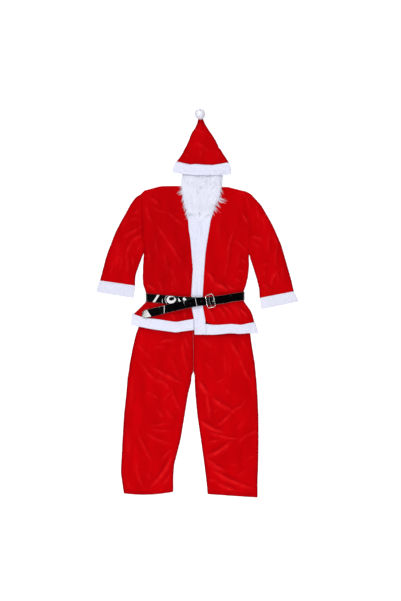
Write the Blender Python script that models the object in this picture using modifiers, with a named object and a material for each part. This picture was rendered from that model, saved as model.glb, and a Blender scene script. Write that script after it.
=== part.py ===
"""Santa suit laid flat: hat, beard, belted jacket and trousers, as one set.

Tables are in millimetres and the meshes in metres. +Z is up and the suit lies on Z = 0.
+Y runs from the trouser hems to the hat, and the wearer's right side is at -X.
Each piece that a maker cuts is laid over the pieces beneath it, lowest first.
"""
import math
from collections import namedtuple

import bmesh
import bpy
import numpy as np
from mathutils import Vector
from mathutils.bvhtree import BVHTree

MM = 0.001

# Cloth and trims.
VELOUR = 1.5          # red velour and its backing
PLUSH = 4.0           # short white pile of the trims
BRIM_PLUSH = 7.5      # one side of the padded hat brim
TRIM_LAP = 8.0        # a trim covers the edge it is sewn to by this much
SEAM = 0.3            # gap between pieces that are sewn or lie together

# Belt and its metal.
STRAP = 1.5
STRAP_WIDTH = 45.0
SLOT_SHARE = 0.09     # half the width of a punched slot, as a share of the strap's
FRAME_WIDTH = 42.0
FRAME_HEIGHT = 68.0
FRAME_CORNER = 8.0
FRAME_WIRE = 4.0
BAR_WIRE = 3.0
PRONG_WIRE = 2.6
KEEPER_WIRE = 2.4
BUCKLE_X = 68.0
BUCKLE_Y = 8.0
KEEPER_X = -2.0
TILT = math.tan(math.radians(13.0))   # the buckle and keeper lean from the strap's square
BELT_RIGHT = -258.6   # where the belt folds round the wearer's sides
BELT_LEFT = 239.8

# Heights over the cloth beneath the buckle.
TAIL_RISE = 1.9       # upper side of the sewn end's turned-back tail
SEWN_RISE = 2.4       # undersides of the sewn end and of the free end, beside the buckle
FREE_RISE = 4.8
SEWN_IN_KEEPER = 3.2  # and inside the keeper
FREE_IN_KEEPER = 5.4
BAR_RISE = 8.8        # middle of the buckle's bar
OVER_BAR = 5.2        # from there to the free end that crosses it

# Hair.
POMPOM = (15.0, 964.1, 25.5)
POMPOM_RADIUS = 30.5
POMPOM_CORE = 15.0
POMPOM_SQUASH = 0.82
POMPOM_SWELL = 1.45   # a pompom lock widens to its middle and narrows to its tip
POMPOM_POINT = 0.6
BARE_SPOT = 0.6       # cosine of the angle round the cone's tip that has no locks
BEARD_BACKING = 2.5
BEARD_LOCK = 30.0
BEARD_POINT = 0.34    # how far a beard lock narrows
LOCK_RISE = 8.0
BEARD_MIDDLE = 20.0   # the locks fan out from this X


# ---------------------------------------------------------------- curves and folds

def stations(rows, count, key):
    """Rows of a table at count places, spaced evenly between its first and last key."""
    table = np.array(rows, dtype=float)
    keys = table[:, rows[0]._fields.index(key)]
    order = np.argsort(keys)
    places = np.linspace(keys[0], keys[-1], count)
    columns = [np.interp(places, keys[order], table[order, c]) for c in range(table.shape[1])]
    return np.stack(columns, axis=1)


def along(points, count):
    """A line through points, as count points spaced evenly by length."""
    points = np.array(points, dtype=float)
    steps = np.hypot(*np.diff(points, axis=0).T)
    run = np.concatenate([[0.0], np.cumsum(steps)])
    places = np.linspace(0.0, run[-1], count)
    return np.stack([np.interp(places, run, points[:, axis]) for axis in (0, 1)], axis=1)


def patch(left, right, top, bottom, columns):
    """Plan points of a four-sided panel between its border lines, a row for each left point."""
    left, right = np.array(left, dtype=float), np.array(right, dtype=float)
    top, bottom = along(top, columns + 1), along(bottom, columns + 1)
    v = np.linspace(0.0, 1.0, len(left))[:, None, None]
    s = np.linspace(0.0, 1.0, columns + 1)[None, :, None]
    across = (1 - s) * left[:, None] + s * right[:, None]
    down = (1 - v) * top[None] + v * bottom[None]
    corners = ((1 - s) * (1 - v) * left[0] + s * (1 - v) * right[0]
               + (1 - s) * v * left[-1] + s * v * right[-1])
    return across + down - corners


Fold = namedtuple("Fold", "x0 y0 x1 y1 height width")
FOLD_PAST = 0.12      # a fold runs out this share of its length past its two points
FOLD_FADE = 0.3


def fold_height(x, y, folds):
    """Height that the creases add at plan points: each is a soft ridge between two points."""
    height = np.zeros_like(x)
    for fold in folds:
        run_x, run_y = fold.x1 - fold.x0, fold.y1 - fold.y0
        length = math.hypot(run_x, run_y)
        place = ((x - fold.x0) * run_x + (y - fold.y0) * run_y) / length ** 2
        aside = np.abs((x - fold.x0) * run_y - (y - fold.y0) * run_x) / length
        ridge = np.cos(np.clip(aside / fold.width, 0, 1) * math.pi / 2) ** 2
        ends = (np.clip((place + FOLD_PAST) / FOLD_FADE, 0, 1)
                * np.clip((1 + FOLD_PAST - place) / FOLD_FADE, 0, 1))
        height = np.maximum(height, fold.height * ridge * ends * (2 - ends))
    return height


# ---------------------------------------------------------------- what each piece lies on

CELL = 5.0
REACH = 42.0          # cloth stays this far from a step before it starts to drop
SLOPE = 0.28          # how steeply cloth drops past a step
GRID_X = np.arange(-540.0, 541.0, CELL)
GRID_Y = np.arange(-1020.0, 1021.0, CELL)
tops = {}


def note_top(piece):
    """Keep the height of a finished piece's upper side, for what is laid on it."""
    graph = bpy.context.evaluated_depsgraph_get()
    tree = BVHTree.FromObject(piece, graph)
    shape = piece.evaluated_get(graph)
    corners = np.array([vertex.co for vertex in shape.data.vertices]) / MM
    low, high = corners.min(axis=0), corners.max(axis=0)
    height = np.zeros((len(GRID_X), len(GRID_Y)))
    for i in np.flatnonzero((GRID_X > low[0]) & (GRID_X < high[0])):
        for j in np.flatnonzero((GRID_Y > low[1]) & (GRID_Y < high[1])):
            start = Vector((GRID_X[i] * MM, GRID_Y[j] * MM, 1.0))
            hit = tree.ray_cast(start, Vector((0, 0, -1)))[0]
            if hit is not None:
                height[i, j] = hit.z / MM
    tops[piece.name] = height


def shifted(height, i, j):
    """The height map moved by i and j cells, with the floor beyond its border."""
    moved = np.zeros_like(height)
    wide, long = height.shape
    moved[max(i, 0):wide + min(i, 0), max(j, 0):long + min(j, 0)] = \
        height[max(-i, 0):wide + min(-i, 0), max(-j, 0):long + min(-j, 0)]
    return moved


def resting(names, reach=REACH, slope=SLOPE):
    """The lowest underside that clears the named pieces, as a function of plan points."""
    stack = np.zeros((len(GRID_X), len(GRID_Y)))
    for name in names:
        stack = np.maximum(stack, tops[name])
    stack = np.where(stack > 0, stack + SEAM, 0.0)
    cells = int(math.ceil(reach / CELL))
    wide = stack.copy()
    for i in range(-cells, cells + 1):
        for j in range(-cells, cells + 1):
            if math.hypot(i, j) * CELL <= reach + 1.0:
                wide = np.maximum(wide, shifted(stack, i, j))
    drop = slope * CELL
    for turn in range(int(wide.max() / drop) + 2):
        for i, j in ((1, 0), (-1, 0), (0, 1), (0, -1), (1, 1), (1, -1), (-1, 1), (-1, -1)):
            wide = np.maximum(wide, shifted(wide, i, j) - drop * math.hypot(i, j))

    def height(x, y):
        u = np.clip((np.asarray(x) - GRID_X[0]) / CELL, 0, len(GRID_X) - 1.001)
        v = np.clip((np.asarray(y) - GRID_Y[0]) / CELL, 0, len(GRID_Y) - 1.001)
        i, j = u.astype(int), v.astype(int)
        p, q = u - i, v - j
        return ((wide[i, j] * (1 - p) + wide[i + 1, j] * p) * (1 - q)
                + (wide[i, j + 1] * (1 - p) + wide[i + 1, j + 1] * p) * q)

    return height


# ---------------------------------------------------------------- finishes and pieces

FINISHES = {
    "velour_red": ((0.55, 0.004, 0.012), 0.85, 0.0),
    "plush_white": ((0.80, 0.81, 0.90), 0.95, 0.0),
    "strap_black": ((0.006, 0.006, 0.007), 0.18, 0.0),
    "metal_silver": ((0.62, 0.61, 0.60), 0.25, 1.0),
}


def finish(name, key):
    """A piece's own Principled material."""
    colour, roughness, metallic = FINISHES[key]
    material = bpy.data.materials.new(name + "_" + key)
    material.use_nodes = True
    shader = material.node_tree.nodes["Principled BSDF"]
    shader.inputs["Base Color"].default_value = (*colour, 1.0)
    shader.inputs["Roughness"].default_value = roughness
    shader.inputs["Metallic"].default_value = metallic
    return material


def add_piece(name, mesh, key, rounded=True):
    """Put a mesh in the suit's collection as a named piece."""
    piece = bpy.data.objects.new(name, mesh)
    suit.objects.link(piece)
    mesh.materials.append(finish(name, key))
    if rounded:
        mesh.shade_smooth()
        mesh.set_sharp_from_angle(angle=math.radians(50))
    return piece


def lay_sheet(name, plan, under, thickness, key, holes=()):
    """A cut piece from the points of its underside, given its thickness upwards."""
    rows, columns = plan.shape[:2]
    mesh = bpy.data.meshes.new(name)
    build = bmesh.new()
    points = np.dstack([plan, under]) * MM
    grid = [[build.verts.new(points[r, c]) for c in range(columns)] for r in range(rows)]
    for r in range(rows - 1):
        for c in range(columns - 1):
            if (r, c) not in holes:
                build.faces.new((grid[r][c], grid[r + 1][c], grid[r + 1][c + 1]))
                build.faces.new((grid[r][c], grid[r + 1][c + 1], grid[r][c + 1]))
    loose = [vertex for vertex in build.verts if not vertex.link_faces]
    bmesh.ops.delete(build, geom=loose, context="VERTS")
    build.to_mesh(mesh)
    build.free()
    piece = add_piece(name, mesh, key)
    wall = piece.modifiers.new("Wall", "SOLIDIFY")
    wall.thickness = thickness * MM
    wall.offset = 1.0
    return piece


EDGE_TURN = 2.0             # a flattened tube turns over this far in from its edge
EDGE_INSET = 0.55           # and its inner side a little further, as a share of the wall
EDGE_HIGH, EDGE_LOW = 0.68, 0.32   # the edge's two lines, as shares of the tube's height


def loop_row(a, b, sag, under, top_at, wall, inset, shares, open_seam):
    """One ring round a flattened tube: points from side a over the top to side b and back.

    inset is 0 on the cloth's outer side and its wall's thickness on the inner side.
    """
    width = math.hypot(b[0] - a[0], b[1] - a[1])
    turn = (inset * EDGE_INSET + EDGE_TURN) / width
    edge = inset / width
    over, back = shares
    s_top = np.interp(over, [0.0, 1.0], [edge + turn, 1.0 - edge - turn])
    s_back = np.interp(back, [0.0, 1.0], [1.0 - edge - turn, edge + turn])
    s = np.concatenate([s_top, [1.0 - edge] * 2, s_back, [edge] * 2])
    if open_seam:
        s[len(s_top):len(s_top) + 2] = 1.0
    x = a[0] + (b[0] - a[0]) * s
    y = a[1] + (b[1] - a[1]) * s - sag * 4 * s * (1 - s)
    low = under(x, y) + inset
    high = top_at(x, y, s) - inset
    z = high.copy()
    z[len(s_top) + 2:-2] = low[len(s_top) + 2:-2]
    for place, share in ((len(s_top), EDGE_HIGH), (len(s_top) + 1, EDGE_LOW), (-2, EDGE_LOW),
                         (-1, EDGE_HIGH)):
        z[place] = low[place] + (high[place] - low[place]) * share
    if open_seam:
        z[len(s_top)] = high[len(s_top)]
        z[len(s_top) + 1] = low[len(s_top) + 1]
    return np.stack([x, y, z], axis=1)


def lay_tube(name, rows, under, hollow, wall, key, shares, folds=(), open_rows=0):
    """A flattened tube of cloth, lofted through rings; its first open_rows are slit at side b.

    rows hold the two sides of each ring and its sag; hollow gives the space inside at share s.
    """
    def top_at(x, y, s):
        return under(x, y) + 2 * wall + hollow(s) + fold_height(x, y, folds)

    mesh = bpy.data.meshes.new(name)
    build = bmesh.new()
    skins = []
    for inset in (0.0, wall):
        skin = []
        for index, (ax, ay, bx, by, sag) in enumerate(rows):
            ring = loop_row((ax, ay), (bx, by), sag, under, top_at, wall, inset, shares,
                            index < open_rows)
            skin.append([build.verts.new(point * MM) for point in ring])
        skins.append(skin)
    outer, inner = skins
    count = len(outer[0])
    seam = len(shares[0])
    for r in range(len(rows) - 1):
        for c in range(count):
            d = (c + 1) % count
            if c == seam and r < open_rows:
                continue
            for skin in skins:
                build.faces.new((skin[r][c], skin[r][d], skin[r + 1][d]))
                build.faces.new((skin[r][c], skin[r + 1][d], skin[r + 1][c]))
    for r in (0, len(rows) - 1):
        for c in range(count):
            d = (c + 1) % count
            if not (c == seam and r < open_rows):
                build.faces.new((outer[r][c], outer[r][d], inner[r][d], inner[r][c]))
    for r in range(min(open_rows, len(rows) - 1)):
        for c in (seam, seam + 1):
            build.faces.new((outer[r][c], outer[r + 1][c], inner[r + 1][c], inner[r][c]))
    if open_rows:
        crotch = open_rows
        build.faces.new((outer[crotch][seam], outer[crotch][seam + 1],
                         inner[crotch][seam + 1], inner[crotch][seam]))
    bmesh.ops.recalc_face_normals(build, faces=build.faces)
    build.to_mesh(mesh)
    build.free()
    return add_piece(name, mesh, key)


def clear_scene():
    """Start from nothing and make the collection that holds the suit."""
    for item in list(bpy.data.objects):
        bpy.data.objects.remove(item, do_unlink=True)
    collection = bpy.data.collections.new("santa_suit")
    bpy.context.scene.collection.children.link(collection)
    return collection


suit = clear_scene()


# ---------------------------------------------------------------- jacket tables

# Shoulder seams from the sleeve to the neck, or from the neck to the sleeve.
SHOULDER_RIGHT = ((-286, 554), (-270, 571), (-229, 582), (-189, 594), (-87, 595), (-62, 590))
SHOULDER_LEFT = ((106, 587), (127, 590), (158, 590), (199, 579), (260, 564), (283, 546))
NECK_BACK = ((-62, 590), (-20, 578), (20, 574), (66, 577), (106, 587))

# One row for each level of the jacket: the two side edges and the two front seams, where the
# white bands are sewn on. The first row is the shoulder, the seventh is the underarm.
Level = namedtuple("Level", "right_x right_y seam_right seam_left left_x left_y y")
LEVELS = (
    Level(-286, 554, -70, 108, 283, 546, 588),
    Level(-284.7, 508, -62, 98, 280.7, 500, 530),
    Level(-283.3, 462, -51, 84, 278.4, 454, 462),
    Level(-282, 416, -45, 69, 276, 407, 416),
    Level(-280.7, 370, -42, 62, 273.7, 361, 370),
    Level(-279.3, 324, -34, 54, 271.3, 314, 324),
    Level(-278, 278, -30, 47, 269, 268, 278),
    Level(-271, 250, -28, 43, 264, 240, 250),
    Level(-274, 217, -25, 41, 265, 205, 217),
    Level(-276, 176, -22, 38, 258, 166, 176),
    Level(-276, 136, -19, 35, 251, 126, 136),
    Level(-269, 98, -19, 33, 244, 92, 98),
    Level(-255, 54, -18, 30, 237, 59, 56),
    Level(-255, -1, -17, 29, 236, 6, 4),
    Level(-284, -27, -17, 31, 252, -18, -24),
    Level(-310, -50, -16, 36, 267, -48, -50),
    Level(-334, -66, -15, 43, 281, -100, -90),
)
BAND_WIDTH = 58.0
NECK_TRIM = 52.0      # how far the trim stands above the back's neckline

# Hem edges of the red cloth, from the side to the front seam.
HEM_RIGHT = ((-334, -66), (-311, -74), (-270, -86), (-189, -96), (-107, -108), (-15, -94))
HEM_LEFT = ((43, -118), (97, -124), (178, -118), (219, -122), (260, -113), (281, -108))
HEM_TRIM_RIGHT = (((-332, -53), (-311, -63), (-270, -76), (-189, -86), (-107, -99), (-66, -91),
                   (-16, -83)),
                  ((-337, -114), (-311, -119), (-229, -135), (-107, -152), (-66, -145),
                   (-16, -139)))
HEM_TRIM_LEFT = (((45, -107), (97, -114), (178, -108), (219, -113), (260, -103), (283, -99)),
                 ((47, -163), (97, -163), (178, -155), (219, -160), (260, -155), (310, -160)))

FRONT_RIGHT_FOLDS = (
    Fold(-200, 470, -70, 392, 7, 24),
    Fold(-188, 372, -76, 258, 9, 26),
    Fold(-112, 250, -94, 112, 7, 22),
    Fold(-232, 352, -222, 170, 5, 22),
    Fold(-168, 300, -196, 112, 6, 24),
    Fold(-250, 150, -176, 96, 6, 20),
    Fold(-60, 170, -50, 96, 5, 18),
    Fold(-118, -46, -88, -96, 6, 18),
    Fold(-60, -46, -52, -96, 5, 16),
)
FRONT_LEFT_FOLDS = (
    Fold(232, 498, 258, 410, 8, 22),
    Fold(180, 360, 142, 180, 8, 24),
    Fold(198, 330, 250, 262, 7, 22),
    Fold(244, 214, 196, 204, 6, 18),
    Fold(60, 200, 120, 92, 9, 24),
    Fold(236, 148, 178, 98, 7, 20),
    Fold(112, -36, 150, -104, 8, 18),
    Fold(158, -30, 206, -100, 9, 18),
    Fold(204, -22, 248, -92, 8, 18),
    Fold(62, -44, 84, -108, 6, 16),
)
SLEEVE_RIGHT_FOLDS = (
    Fold(-292, 388, -412, 296, 9, 24),
    Fold(-300, 336, -392, 250, 8, 22),
    Fold(-366, 270, -352, 126, 6, 20),
    Fold(-318, 470, -372, 396, 6, 22),
    Fold(-420, 226, -452, 140, 5, 20),
)
SLEEVE_LEFT_FOLDS = (
    Fold(284, 330, 342, 306, 8, 20),
    Fold(292, 392, 330, 380, 6, 20),
    Fold(352, 436, 404, 240, 7, 22),
    Fold(404, 240, 396, 90, 7, 22),
    Fold(308, 118, 376, 66, 8, 20),
    Fold(424, 190, 444, 96, 5, 20),
)


# ---------------------------------------------------------------- sleeve, leg and hat tables

Side = namedtuple("Side", "outer_x outer_y inner_x inner_y sag")

SLEEVE_RIGHT = (
    Side(-286.5, 554, -278.5, 278, 0),
    Side(-311, 537, -280, 271, 0),
    Side(-338, 498, -283, 258, 0),
    Side(-362, 454, -286, 243, 0),
    Side(-388, 408, -291, 227, 0),
    Side(-413, 360, -296, 210, 0),
    Side(-433, 310, -301, 193, 0),
    Side(-451, 266, -306, 176, 0),
    Side(-467, 218, -311, 156, 0),
    Side(-480, 169, -315, 131, 0),
    Side(-495, 118.3, -315, 92.3, 0),
)
SLEEVE_LEFT = (
    Side(283.5, 546, 269.5, 268, 0),
    Side(301, 523, 271, 248, 0),
    Side(326, 487, 273, 227, 0),
    Side(352, 442, 279, 207, 0),
    Side(377, 396, 285, 186, 0),
    Side(400, 346, 292, 164, 0),
    Side(423, 296, 298, 143, 0),
    Side(440, 238, 305, 122, 0),
    Side(456, 182, 311, 97, 0),
    Side(474, 120, 318, 69, 0),
    Side(489, 63.3, 320, 29.3, 0),
)
CUFF_RIGHT = (
    Side(-496, 118, -315, 92, 0),
    Side(-503, 96, -317, 68, 0),
    Side(-509, 73, -321, 44, 0),
    Side(-512.6, 54, -325, 23, 0),
)
CUFF_LEFT = (
    Side(489, 63, 320, 29, 0),
    Side(498, 43, 323, 7, 0),
    Side(507, 22, 326, -14, 0),
    Side(512.6, 5, 329, -34, 0),
)

Leg = namedtuple("Leg", "y outer_x inner_x outer_drop inner_drop sag")
WAIST_Y = 36.0
CROTCH_Y = -352.0
LEG_RIGHT = (
    Leg(36, -224, -26, 0, 0, 0),
    Leg(-50, -262, -24, 0, 0, 0),
    Leg(-150, -306, -21, 0, 0, 0),
    Leg(-232, -326, -19, 0, 0, 0),
    Leg(-313, -342, -18.3, 0, 0, 0),
    Leg(-352, -347, -18.3, 0, 0, 0),
    Leg(-374, -352, -30, 0, 0, 0),
    Leg(-456, -357, -50, 0, 0, 0),
    Leg(-578, -370, -69, 0, 0, 0),
    Leg(-701, -377, -89, 0, 0, 0),
    Leg(-823, -384, -120, 0, 0, 0),
    Leg(-864, -387, -124, 0, 0, 0),
    Leg(-905, -381, -125, 0, 0, 3),
    Leg(-958, -371, -124, -8, 0, 10),
)
LEG_LEFT = (
    Leg(36, 178, -25.4, 0, 0, 0),
    Leg(-50, 220, -23.4, 0, 0, 0),
    Leg(-150, 267, -20.4, 0, 0, 0),
    Leg(-232, 278, -18.4, 0, 0, 0),
    Leg(-313, 291, -17.7, 0, 0, 0),
    Leg(-352, 294, -17.7, 0, 0, 0),
    Leg(-374, 296, -11, 0, 0, 0),
    Leg(-456, 301, -6, 0, 0, 0),
    Leg(-578, 306, 6, 0, 0, 0),
    Leg(-701, 306, 24, 0, 0, 0),
    Leg(-823, 306, 41, 0, 0, 0),
    Leg(-905, 304, 51, 0, 0, 0),
    Leg(-976, 306, 57, -17.5, 0, 0),
)
LEG_RIGHT_FOLDS = (
    Fold(-306, -222, -250, -290, 6, 22),
    Fold(-300, -300, -186, -438, 10, 24),
    Fold(-228, -330, -72, -416, 11, 24),
    Fold(-186, -438, -120, -448, 9, 22),
    Fold(-262, -462, -188, -512, 7, 20),
    Fold(-128, -446, -196, -516, 6, 20),
    Fold(-120, -452, -72, -548, 7, 22),
    Fold(-212, -540, -184, -584, 7, 20),
    Fold(-160, -546, -116, -600, 7, 20),
    Fold(-240, -628, -140, -626, 6, 18),
    Fold(-236, -650, -140, -656, 6, 18),
    Fold(-250, -680, -150, -714, 7, 20),
    Fold(-306, -660, -228, -826, 8, 24),
    Fold(-196, -800, -126, -732, 8, 20),
    Fold(-250, -930, -150, -808, 10, 24),
    Fold(-200, -932, -130, -842, 9, 20),
    Fold(-306, -860, -296, -936, 6, 22),
    Fold(-180, -176, -90, -160, 6, 20),
    Fold(-240, -200, -160, -214, 6, 18),
    Fold(-70, -170, -48, -296, 7, 16),
)
LEG_LEFT_FOLDS = (
    Fold(20, -168, 64, -212, 7, 20),
    Fold(166, -180, 218, -268, 8, 22),
    Fold(218, -268, 262, -392, 8, 22),
    Fold(226, -168, 258, -222, 6, 18),
    Fold(60, -390, 120, -380, 6, 18),
    Fold(4, -392, 46, -462, 11, 22),
    Fold(84, -478, 170, -536, 12, 24),
    Fold(52, -470, 60, -560, 9, 20),
    Fold(136, -590, 236, -516, 12, 24),
    Fold(6, -590, 110, -636, 13, 24),
    Fold(66, -636, 200, -664, 11, 20),
    Fold(34, -694, 112, -680, 8, 18),
    Fold(60, -752, 150, -690, 10, 24),
    Fold(150, -690, 206, -716, 7, 20),
    Fold(200, -690, 286, -620, 7, 22),
    Fold(44, -758, 120, -786, 8, 18),
    Fold(104, -800, 264, -898, 12, 24),
    Fold(60, -810, 96, -852, 9, 18),
    Fold(66, -880, 120, -868, 9, 20),
    Fold(124, -876, 190, -920, 10, 22),
    Fold(120, -240, 112, -360, 5, 22),
)

CONE = (
    Side(-109, 713.3, 160, 712.4, 0),
    Side(-94, 727, 148, 727, 0),
    Side(-79, 748, 132, 748, 0),
    Side(-71, 768, 120, 768, 0),
    Side(-61, 788, 107, 788, 0),
    Side(-50, 809, 97, 809, 0),
    Side(-38, 829, 87, 829, 0),
    Side(-28, 850, 77, 850, 0),
    Side(-18, 870, 61, 870, 0),
    Side(-9, 890, 50, 890, 0),
    Side(0, 911, 39, 911, 0),
    Side(5, 931, 31, 931, 0),
    Side(9, 948.9, 25, 948.9, 0),
)
CONE_FOLDS = (
    Fold(-60, 730, 24, 800, 8, 22),
    Fold(110, 726, 40, 838, 7, 22),
    Fold(10, 810, 20, 900, 5, 16),
)
BRIM = (
    Side(-112, 713, 166, 712, 2),
    Side(-118, 701, 170, 699, 3),
    Side(-122, 688, 173, 685, 4),
    Side(-125, 675, 176, 669, 4),
    Side(-125, 664, 176, 655, 4),
)


# ---------------------------------------------------------------- the jacket's hidden pieces

def shift(points, x=0.0, y=0.0):
    """A border line moved in the plane."""
    return tuple((px + x, py + y) for px, py in points)


def strip(upper, lower, columns, rows=2):
    """Plan points of a trim between its upper and lower edge."""
    upper, lower = along(upper, columns + 1), along(lower, columns + 1)
    share = np.linspace(0.0, 1.0, rows + 1)[:, None, None]
    return (1 - share) * upper[None] + share * lower[None]


def trim(name, plan, under, key="plush_white", thickness=PLUSH):
    """A white plush trim."""
    return lay_sheet(name, plan, under(plan[..., 0], plan[..., 1]), thickness, key)


def floor(x, y):
    """The surface that the suit lies on."""
    return np.zeros_like(np.asarray(x, dtype=float))


def belt_centre(x):
    """How high in the plane the worn stretch of the belt runs."""
    return np.interp(x, (-259, -168, -87, -5, BUCKLE_X, 97, 138, 178, 236, 241),
                     (25, 17, 10, 5, BUCKLE_Y - 1, 12, 17, 25, 33, 33))


def belt_back():
    """The belt's stretch round the back, flat on the surface."""
    x = np.linspace(BELT_RIGHT + 4.1, BELT_LEFT - 3.8, 5)
    half = STRAP_WIDTH / 2
    plan = np.stack([np.stack([x, belt_centre(x) + half], axis=1),
                     np.stack([x, belt_centre(x) - half], axis=1)])
    note_top(lay_sheet("belt_back", plan, floor(plan[..., 0], 0), STRAP, "strap_black"))


def back_trims():
    """The white trims on the outside of the back, at the hem and round the neck."""
    upper = HEM_TRIM_RIGHT[0][:-1] + ((-16, -92), (45, -106)) + HEM_TRIM_LEFT[0][1:]
    lower = HEM_TRIM_RIGHT[1][:-1] + ((-16, -148), (47, -160)) + HEM_TRIM_LEFT[1][1:]
    note_top(trim("hem_trim_back", strip(upper, lower, 16), floor))
    neck = shift(NECK_BACK, 0, NECK_TRIM)
    note_top(trim("neck_trim_back", strip(neck, shift(NECK_BACK, 0, -TRIM_LAP), 6), floor))


def jacket_back():
    """The back panel, from the shoulders to the hem."""
    top = SHOULDER_RIGHT + NECK_BACK[1:-1] + SHOULDER_LEFT
    right = tuple((level.right_x, level.right_y) for level in LEVELS)
    left = tuple((level.left_x, level.left_y) for level in LEVELS)
    bottom = HEM_RIGHT[:-1] + ((-15, -102), (43, -112)) + HEM_LEFT[1:-1] + (left[-1],)
    plan = patch(right, left, top, bottom, 14)
    under = resting(("belt_back", "hem_trim_back", "neck_trim_back"), reach=52.0)
    note_top(lay_sheet("jacket_back", plan, under(plan[..., 0], plan[..., 1]), VELOUR,
                       "velour_red"))


# ---------------------------------------------------------------- trousers

LEG_COLUMNS = (np.linspace(0, 1, 11), np.linspace(0, 1, 4))
ROWS_TO_CROTCH = 10
ROWS_TO_HEM = 22


def leg_rows(table, above, below):
    """Rings of a leg from its table, so that one of them lies on the crotch."""
    grid = np.array(table, dtype=float)
    keys = grid[:, 0]
    places = np.concatenate([np.linspace(WAIST_Y, CROTCH_Y, above + 1)[:-1],
                             np.linspace(CROTCH_Y, keys[-1], below + 1)])
    columns = [np.interp(-places, -keys, grid[:, column]) for column in range(grid.shape[1])]
    y, outer_x, inner_x, outer_drop, inner_drop, sag = columns
    return list(zip(outer_x, y + outer_drop, inner_x, y + inner_drop, sag))


def trousers():
    """The two legs, each one piece of velour seamed inside the leg and at the centre."""
    on_back = resting(("jacket_back", "hem_trim_back"))

    def space(s):
        return 1.2 + 2.4 * np.sin(math.pi * s) ** 0.7

    for name, table, folds in (("trouser_leg_right", LEG_RIGHT, LEG_RIGHT_FOLDS),
                               ("trouser_leg_left", LEG_LEFT, LEG_LEFT_FOLDS)):
        rows = leg_rows(table, ROWS_TO_CROTCH, ROWS_TO_HEM)
        note_top(lay_tube(name, rows, on_back, space, VELOUR, "velour_red", LEG_COLUMNS, folds,
                          open_rows=ROWS_TO_CROTCH))


# ---------------------------------------------------------------- the jacket's fronts

def band_edge(side, offset):
    """Points down a front band at an offset from its seam, at the jacket's levels and hem."""
    seam = [(getattr(level, "seam_" + side), level.y) for level in LEVELS]
    last = {"right": [(-14, -139)], "left": [(46, -163)]}[side]
    return tuple((x + offset, y) for x, y in seam + last)


def fronts():
    """The two red fronts with their bands and hem trims, the wearer's left one on top."""
    hips = ("trouser_leg_right", "trouser_leg_left")
    right_side = tuple((level.right_x, level.right_y) for level in LEVELS)
    right_seam = band_edge("right", TRIM_LAP)[:-1]
    top = SHOULDER_RIGHT[:-1] + (right_seam[0],)
    bottom = HEM_RIGHT[:-1] + (right_seam[-1],)
    plan = patch(right_side, right_seam, top, bottom, 10)
    x, y = plan[..., 0], plan[..., 1]
    base = resting(("jacket_back", "neck_trim_back", "hem_trim_back") + hips)
    note_top(lay_sheet("jacket_front_right", plan, base(x, y) + crown(plan, FRONT_RIGHT_FOLDS),
                       VELOUR, "velour_red"))
    plan = strip(HEM_TRIM_RIGHT[0], HEM_TRIM_RIGHT[1], 11)
    base = resting(("hem_trim_back", "jacket_back", "jacket_front_right") + hips)
    note_top(trim("hem_trim_right", plan, base))
    plan = np.stack([band_edge("right", offset) for offset in (0, BAND_WIDTH / 2, BAND_WIDTH)],
                    axis=1)
    base = resting(("hem_trim_back", "jacket_back", "neck_trim_back", "jacket_front_right")
                   + hips)
    note_top(trim("front_band_right", plan, base))

    below = ("jacket_back", "neck_trim_back", "hem_trim_back", "jacket_front_right",
             "front_band_right", "hem_trim_right") + hips
    left_seam = band_edge("left", -TRIM_LAP)[:-1]
    left_side = tuple((level.left_x, level.left_y) for level in LEVELS)
    top = (left_seam[0],) + SHOULDER_LEFT[1:]
    bottom = (left_seam[-1],) + HEM_LEFT[1:-1] + (left_side[-1],)
    plan = patch(left_seam, left_side, top, bottom, 10)
    x, y = plan[..., 0], plan[..., 1]
    note_top(lay_sheet("jacket_front_left", plan,
                       resting(below)(x, y) + crown(plan, FRONT_LEFT_FOLDS), VELOUR,
                       "velour_red"))
    base = resting(below + ("jacket_front_left",))
    plan = strip(HEM_TRIM_LEFT[0], HEM_TRIM_LEFT[1], 11)
    note_top(trim("hem_trim_left", plan, base))
    plan = np.stack([band_edge("left", offset) for offset in (-BAND_WIDTH, -BAND_WIDTH / 2, 0)],
                    axis=1)
    note_top(trim("front_band_left", plan, base))


FULLNESS = 3.5              # a front stands this high off what it covers
EDGE_SHARPNESS = 3.0        # folds die away close to the panel's edges
PRESSED, RELEASED = 30, 90  # the belt holds the fronts down to here, and lets go by here


def crown(plan, folds):
    """How far a front stands off what it lies on: soft fullness in its middle, and folds."""
    rows, columns = plan.shape[:2]
    v = np.sin(np.linspace(0, math.pi, rows))[:, None]
    s = np.sin(np.linspace(0, math.pi, columns))[None, :]
    edge = np.minimum(1.0, EDGE_SHARPNESS * s) * np.minimum(1.0, EDGE_SHARPNESS * v)
    from_belt = np.abs(plan[..., 1] - belt_centre(plan[..., 0]))
    free = np.clip((from_belt - PRESSED) / (RELEASED - PRESSED), 0, 1)
    return FULLNESS * s * v * free + fold_height(plan[..., 0], plan[..., 1], folds) * edge


# ---------------------------------------------------------------- sleeves, cuffs and hat

SLEEVE_COLUMNS = (np.linspace(0, 1, 8), np.linspace(0, 1, 3))
CONE_COLUMNS = (np.linspace(0, 1, 7), np.linspace(0, 1, 3))
ROLL_COLUMNS = (np.linspace(0, 1, 11), np.linspace(0, 1, 5))
TIP_RISE = 17.0       # the pompom holds the cone's tip this high
TIP_LENGTH = 110.0    # over this last stretch of the cone


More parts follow.
